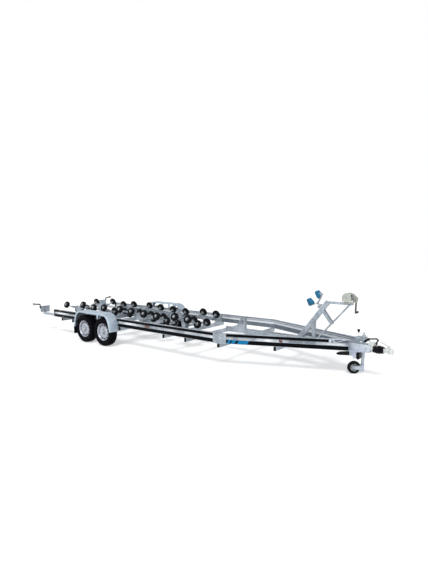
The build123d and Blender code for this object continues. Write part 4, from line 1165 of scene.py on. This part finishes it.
bm = bmesh.new()
for _, side in SIDES:
    for x in (1195, 4050):
        side_lamp(bm, x, 539, 118, 34, 12.5, 14, side)
    side_lamp(bm, -1950, 588, 62, 24, 7, 0, side)
make_piece("side_markers", bm, [amber_lens, black_plastic], "frame")

# %% [markdown]
# ## Tail lamps
# The lamp housings slide out on their arms. Each has a black body, three lens fields, four screws
# and a width marker that stands out on a bent rubber stalk, red to the back and clear to the front.

# %% Lamp housings, lenses and markers
LAMP_FIELDS = [(960, 1029, 1), (884, 957, 2), (817, 881, 3)]  # across the trailer, material
STALK = [(1034, 604), (1048, 606), (1056, 622), (1055, 655), (1053, 690), (1060, 708), (1080, 716),
         (1120, 720), (1160, 723), (1207, 727)]
for side_name, side in SIDES:
    bm = bmesh.new()
    slab(bm, (-2846, -2800), both(810, 1035, side), (515, 655), bevel=7, material=0)
    slab(bm, (-2850, -2840), both(812, 1033, side), (517, 653), bevel=3, material=0)
    for low, high, material in LAMP_FIELDS:
        slab(bm, (-2860, -2844), both(low, high, side), (523, 647), bevel=4, material=material)
    for y in (818, 1027):
        for z in (521.5, 648.5):
            lathe(bm, at(-2850, side * y, z), BACK,
                  [(0, 4.5, 4), (1.5, 4.2, 4), (2, 2, 4), (2, 0, 4)], 12)
    tube(bm, [at(-2820, side * y, z) for y, z in STALK], 16, steps=16, material=0)
    for back, lens in ((-1, 2), (1, 3)):
        lathe(bm, at(-2820, side * 1217, 728), Vector((back, 0, 0)),
              [(0, 29, 0), (20, 29, 0), (23, 27, 0), (23, 21, lens), (28, 18, lens), (30, 11, lens),
               (30, 0, lens)], 36)
    for x in (-2790, -2756):
        bolt(bm, at(x, side * 992, 560), Vector((0, side, 0)), size=7)
    piece = make_piece(f"dressed_tail_lamp_{side_name}", bm,
                       [black_plastic, amber_lens, red_lens, clear_lens, bright_zinc],
                       f"lamp_arm_{side_name}")
    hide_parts(f"tail_lamp_{side_name}")

# %% [markdown]
# ## Bow stop
# The stem of the hull leans between two soft blue blocks on a swivelling yoke. The yoke's arms are
# flat bar, lifted a little so that they form a shallow V, and their ends are turned up behind the
# blocks. Each arm is made lying flat and then tilted about the pin, with its block on it. The inner
# faces of the blocks are ribbed for grip, and two screws from below hold each block to its arm.

# %% Yoke with lifted arms
ARM_LIFT = math.radians(16)
YOKE_TURN = math.radians(-113)
stem = STEM.normalized()
square = Matrix((LEFT, stem.cross(LEFT), stem)).transposed().to_4x4()
bow_place = Matrix.Translation(BOW_PIN) @ square @ Matrix.Rotation(YOKE_TURN, 4, "Z")
arm_places = {side: bow_place @ Matrix.Rotation(-side * ARM_LIFT, 4, "Y") for side in (-1, 1)}
bar = rounded([(10, 3), (205, 3), (205, 66), (197, 66), (197, 15), (10, 15)], 4)
bm = bmesh.new()
lathe(bm, BOW_PIN, stem, [(1, 9), (1, 25), (3, 27), (15, 27), (17, 25), (17, 9)], 40)
for side, place in arm_places.items():
    prism(bm, [(side * x, z) for x, z in bar], 46, place @ STOOD, bevel=1.5)
piece = make_piece("lifted_bow_yoke", bm, [galvanised], "bow_stop")
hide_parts("bow_fork")

# %% Ribbed blue blocks
FACE_TOP, FACE_FOOT, FACE_RIBS = (150, 136), (108, 58), 7
outline = [(112, 15.2), (196.5, 15.2), (196.5, 128), (184, 140), FACE_TOP]
for rib in range(FACE_RIBS):
    share, depth = (rib + 0.5) / (FACE_RIBS + 0.5), 2.2 if rib % 2 else 0.0
    x, z = (top + (foot - top) * share for top, foot in zip(FACE_TOP, FACE_FOOT))
    outline.append((x + depth, z))
block = rounded(outline + [FACE_FOOT], 8)
bm = bmesh.new()
for side, place in arm_places.items():
    prism(bm, [(side * x, z) for x, z in block], 76, place @ STOOD, bevel=5)
piece = make_piece("ribbed_bow_pads", bm, [pad_blue], "bow_stop", smooth=50)
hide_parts("bow_pads")

# %% Screws of the blocks
bm = bmesh.new()
for side, place in arm_places.items():
    for x in (128, 180):
        bolt(bm, place @ Vector((side * x / 1000, 0, 0.003)), place.to_3x3() @ DOWN, size=8)
make_piece("bow_pad_screws", bm, [bright_zinc], "bow_stop")

# %% [markdown]
# ## Winch
# Behind the cheeks a spur gear and a ratchet wheel turn with the drum, and a flat strap is wound on
# its core. The crank gets a loose black grip.

# %% Gear, ratchet and strap
DRUM_X, DRUM_Z, CRANK_X = 4980, 1300, 5072


def toothed(count, root, tip, lean):
    """Outline of a wheel with teeth; lean shifts the tips for a ratchet."""
    points = []
    for tooth in range(count):
        for share, radius in ((0.0, root), (0.3 + lean, tip), (0.6 + lean, tip), (0.9, root)):
            angle = (tooth + share) * math.tau / count
            points.append((radius * math.cos(angle), radius * math.sin(angle)))
    return points


STRAP = [(0, 31, 1), (0, 46, 1), (1.5, 47.5, 1), (60, 48.4, 1), (122.5, 47.5, 1), (124, 46, 1),
         (124, 31, 1)]
bm = bmesh.new()
prism(bm, toothed(44, 60, 66, 0.0), 6, upright(DRUM_X, 55.6, DRUM_Z), bevel=0)
prism(bm, toothed(16, 52, 60, 0.25), 5, upright(DRUM_X, -88, DRUM_Z), bevel=0)
lathe(bm, at(DRUM_X, -78, DRUM_Z), LEFT, STRAP, 64)
make_piece("winch_gears_and_strap", bm, [bright_zinc, strap_web], "winch_drum_body")

# %% Bolts and pawl of the winch
PAWL_X, PAWL_Z = 5036, 1348
PAWL = [(-8, -8), (8, -8), (9, 12), (-30, 26), (-34, 18), (-10, 6)]
bm = bmesh.new()
for x, z in ((DRUM_X, DRUM_Z), (5040, 1300), (4920, 1290)):
    bolt(bm, at(x, -98, z), RIGHT, size=12 if x == DRUM_X else 7, stub=3)
for x, z in ((DRUM_X, DRUM_Z), (4948, 1336), (5034, 1338), (5096, 1282), (5092, 1236),
             (4950, 1262)):
    bolt(bm, at(x, 98, z), LEFT, size=9 if x == DRUM_X else 4.5)
prism(bm, rounded(PAWL, 3), 5, upright(PAWL_X, -88, PAWL_Z), bevel=0.6)
lathe(bm, at(PAWL_X, -93, PAWL_Z), LEFT, [(0, 5), (12, 5), (12, 0)], 16)
make_piece("winch_fasteners", bm, [bright_zinc], "frame")

# %% Grip of the crank
GRIP = [(0, 14.3), (0, 17), (2, 19), (10, 19.4), (30, 17.6), (70, 18.6), (94, 20), (102, 19),
        (106, 15), (107, 0)]
bm = bmesh.new()
lathe(bm, at(CRANK_X, 124, 1036), LEFT, GRIP, 32)
lathe(bm, at(CRANK_X, 124, 1252), LEFT, [(0, 11.5, 1), (7, 11.5, 1), (8, 10, 1), (8, 0, 1)], 6)
make_piece("winch_grip", bm, [black_plastic, bright_zinc], "winch_crank_body")

# %% [markdown]
# ## Coupling and handbrake
# The rubber gaiter is turned with soft ribs that swell towards its middle, in place of the drawn
# cones. Grease nipples stand on the housing, the handle's pin ends in nuts, and a ribbed sleeve
# forms the grip of the brake lever.

# %% Gaiter
GAITER_RIBS, RIB_PITCH, SWELL = 7, 24.4, 0.25
# distance along one rib, radius before the swell
GAITER_RIB = ((2, 43), (4.5, 44.5), (8, 51), (10.5, 55.2), (13.5, 56.8), (16.5, 55.2), (19, 51),
              (22, 44.5))
bm = bmesh.new()
rows = [(0, 46), (4, 47)]
for rib in range(GAITER_RIBS):
    start = 4 + rib * RIB_PITCH
    swell = 1 + SWELL * math.sin((rib + 0.5) / GAITER_RIBS * math.pi)
    rows += [(start + reach, radius * swell) for reach, radius in GAITER_RIB]
rows += [(176, 44), (180, 42), (180, 32)]
lathe(bm, at(5420, 0, 490), FORWARD, rows, 56)
clip = [(0, 45, 1), (0, 48.6, 1), (6, 48.6, 1), (6, 45, 1)]
for x in (5420.5, 5591):
    lathe(bm, at(x, 0, 490), FORWARD, clip, 48)
piece = make_piece("ribbed_gaiter", bm, [gaiter_rubber, bright_zinc], "frame",
                   smooth=60)
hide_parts("overrun_bellows")

# %% Grease nipples and nuts
NIPPLE = [(0, 7), (6, 7), (6, 4), (11, 4), (13, 2.6), (14, 3.6), (17, 2), (17, 0)]
bm = bmesh.new()
for x in (5090, 5290):
    lathe(bm, at(x, 0, 536), UP, NIPPLE, 12)
for way in (-1, 1):
    lathe(bm, at(5655, way * 22, 552), Vector((0, way, 0)),
          [(0, 9), (3, 9), (3.5, 8), (3.5, 5), (8, 5), (8, 0)], 16)
    for x in (5618, 5650):
        bolt(bm, at(x, way * 30, 486), Vector((0, way, 0)), size=8, stub=3)
make_piece("coupling_fittings", bm, [bright_zinc], "frame")

# %% Grip of the brake lever
bm = bmesh.new()
grip_from, grip_to = at(5366, -38, 656), at(5290, -38, 598)
rows = [(0, 0), (0, 17), (3, 19.6)]
for rib in range(6):
    start = 8 + rib * 13
    rows += [(start, 20.4), (start + 8, 20.4), (start + 9.5, 18.9), (start + 11.5, 18.9)]
rows += [(90, 20.8), (94, 18), (95.5, 0)]
lathe(bm, grip_from, grip_to - grip_from, rows, 28)
lathe(bm, at(5468, -45, 575), RIGHT,
      [(0, 13, 1), (2, 13, 1), (2, 9.5, 1), (8, 9.5, 1), (8, 0, 1)], 6)
make_piece("handbrake_grip", bm, [black_plastic, bright_zinc], "handbrake")

# %% [markdown]
# ## Jockey wheel and chocks
# The jockey wheel is a solid rubber tyre on a grey plastic hub with five spokes in relief. The
# chocks are ribbed black plastic, pushed into their bracket under the drawbar.

# %% Jockey wheel
JOCKEY = (5215, 180)
TRAIL, TRAIL_ANGLE = 145, math.radians(180 + 37.7)
HALF_TYRE = [(24.5, 60), (26.5, 68), (27, 92), (25, 102), (20, 107.5), (12, 110)]
HALF_HUB = [(25.5, 63, 1), (27, 60, 1), (25, 57, 1), (17, 55, 1), (15, 42, 1), (24, 36, 1),
            (28, 30, 1), (29, 14, 1), (27, 12, 1)]
wheel_centre = at(JOCKEY[0] + TRAIL * math.cos(TRAIL_ANGLE),
                  JOCKEY[1] + TRAIL * math.sin(TRAIL_ANGLE), 110.5)
wheel_axis = Vector((-math.sin(TRAIL_ANGLE), math.cos(TRAIL_ANGLE), 0))
wheel_place = Matrix.Translation(wheel_centre) @ Matrix.Rotation(TRAIL_ANGLE, 4, "Z")
bm = bmesh.new()
tyre_rows = [(-d, r) for d, r in HALF_TYRE] + [(0, 110.5)] + [(d, r) for d, r in HALF_TYRE[::-1]]
lathe(bm, wheel_centre, wheel_axis, tyre_rows, 64)
for way in (-1, 1):
    lathe(bm, wheel_centre, wheel_axis * way, HALF_HUB, 48)
    for spoke in range(5):
        place = wheel_place @ Matrix.Rotation(spoke * math.tau / 5, 4, "Y")
        place = place @ Matrix.Translation((0, way * 0.0185, 0)) @ STOOD
        prism(bm, [(30, -7), (57, -5), (57, 5), (30, 7)], 7, place, bevel=1.5, material=1)
piece = make_piece("jockey_tyre_and_hub", bm, [jockey_rubber, hub_plastic], "jockey_wheel_body")
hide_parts("jockey_wheel")

# %% Fittings of the jockey wheel and its tube
bm = bmesh.new()
for way in (-1, 1):
    bolt(bm, wheel_centre + wheel_axis * (way * 0.0405), wheel_axis * way, size=9, stub=2)
make_piece("jockey_pin_nuts", bm, [bright_zinc], "jockey_castor")
bm = bmesh.new()
lathe(bm, at(*JOCKEY, 660), UP, [(0, 31), (3, 31.5), (8, 30), (10, 24), (10, 12)], 40)
lathe(bm, at(*JOCKEY, 706), UP, [(0, 9), (4, 9), (5, 7), (5, 0)], 6)
for z in (580, 622):
    bolt(bm, at(5130, 100, z), RIGHT, size=8)
lathe(bm, at(5254, 150, 600), FORWARD, [(0, 13), (10, 13), (11, 10), (11, 8)], 24)
make_piece("jockey_tube_fittings", bm, [bright_zinc], "frame")

# %% Chocks
LONG_CHOCK = [(4840, 352), (4900, 362), (5060, 390), (5168, 392), (5168, 345), (5060, 342),
              (4884, 322), (4846, 330)]
SHORT_CHOCK = [(5181, 384), (5200, 394), (5226, 394), (5232, 326), (5216, 288), (5181, 300)]
bm = bmesh.new()
for outline in (LONG_CHOCK, SHORT_CHOCK):
    prism(bm, rounded(outline, 8), 112, upright(0, 0, 0), bevel=3)
    middle_x, middle_z = (sum(values) / len(outline) for values in zip(*outline))
    ribbed = [(x + (x - middle_x) * 0.004, z + (2 if z > middle_z else -2)) for x, z in outline]
    for y in (-56, -28, 0, 28, 56):
        prism(bm, rounded(ribbed, 8), 8, upright(0, y, 0), bevel=1)
piece = make_piece("ribbed_chocks", bm, [black_plastic], "frame")
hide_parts("chocks")
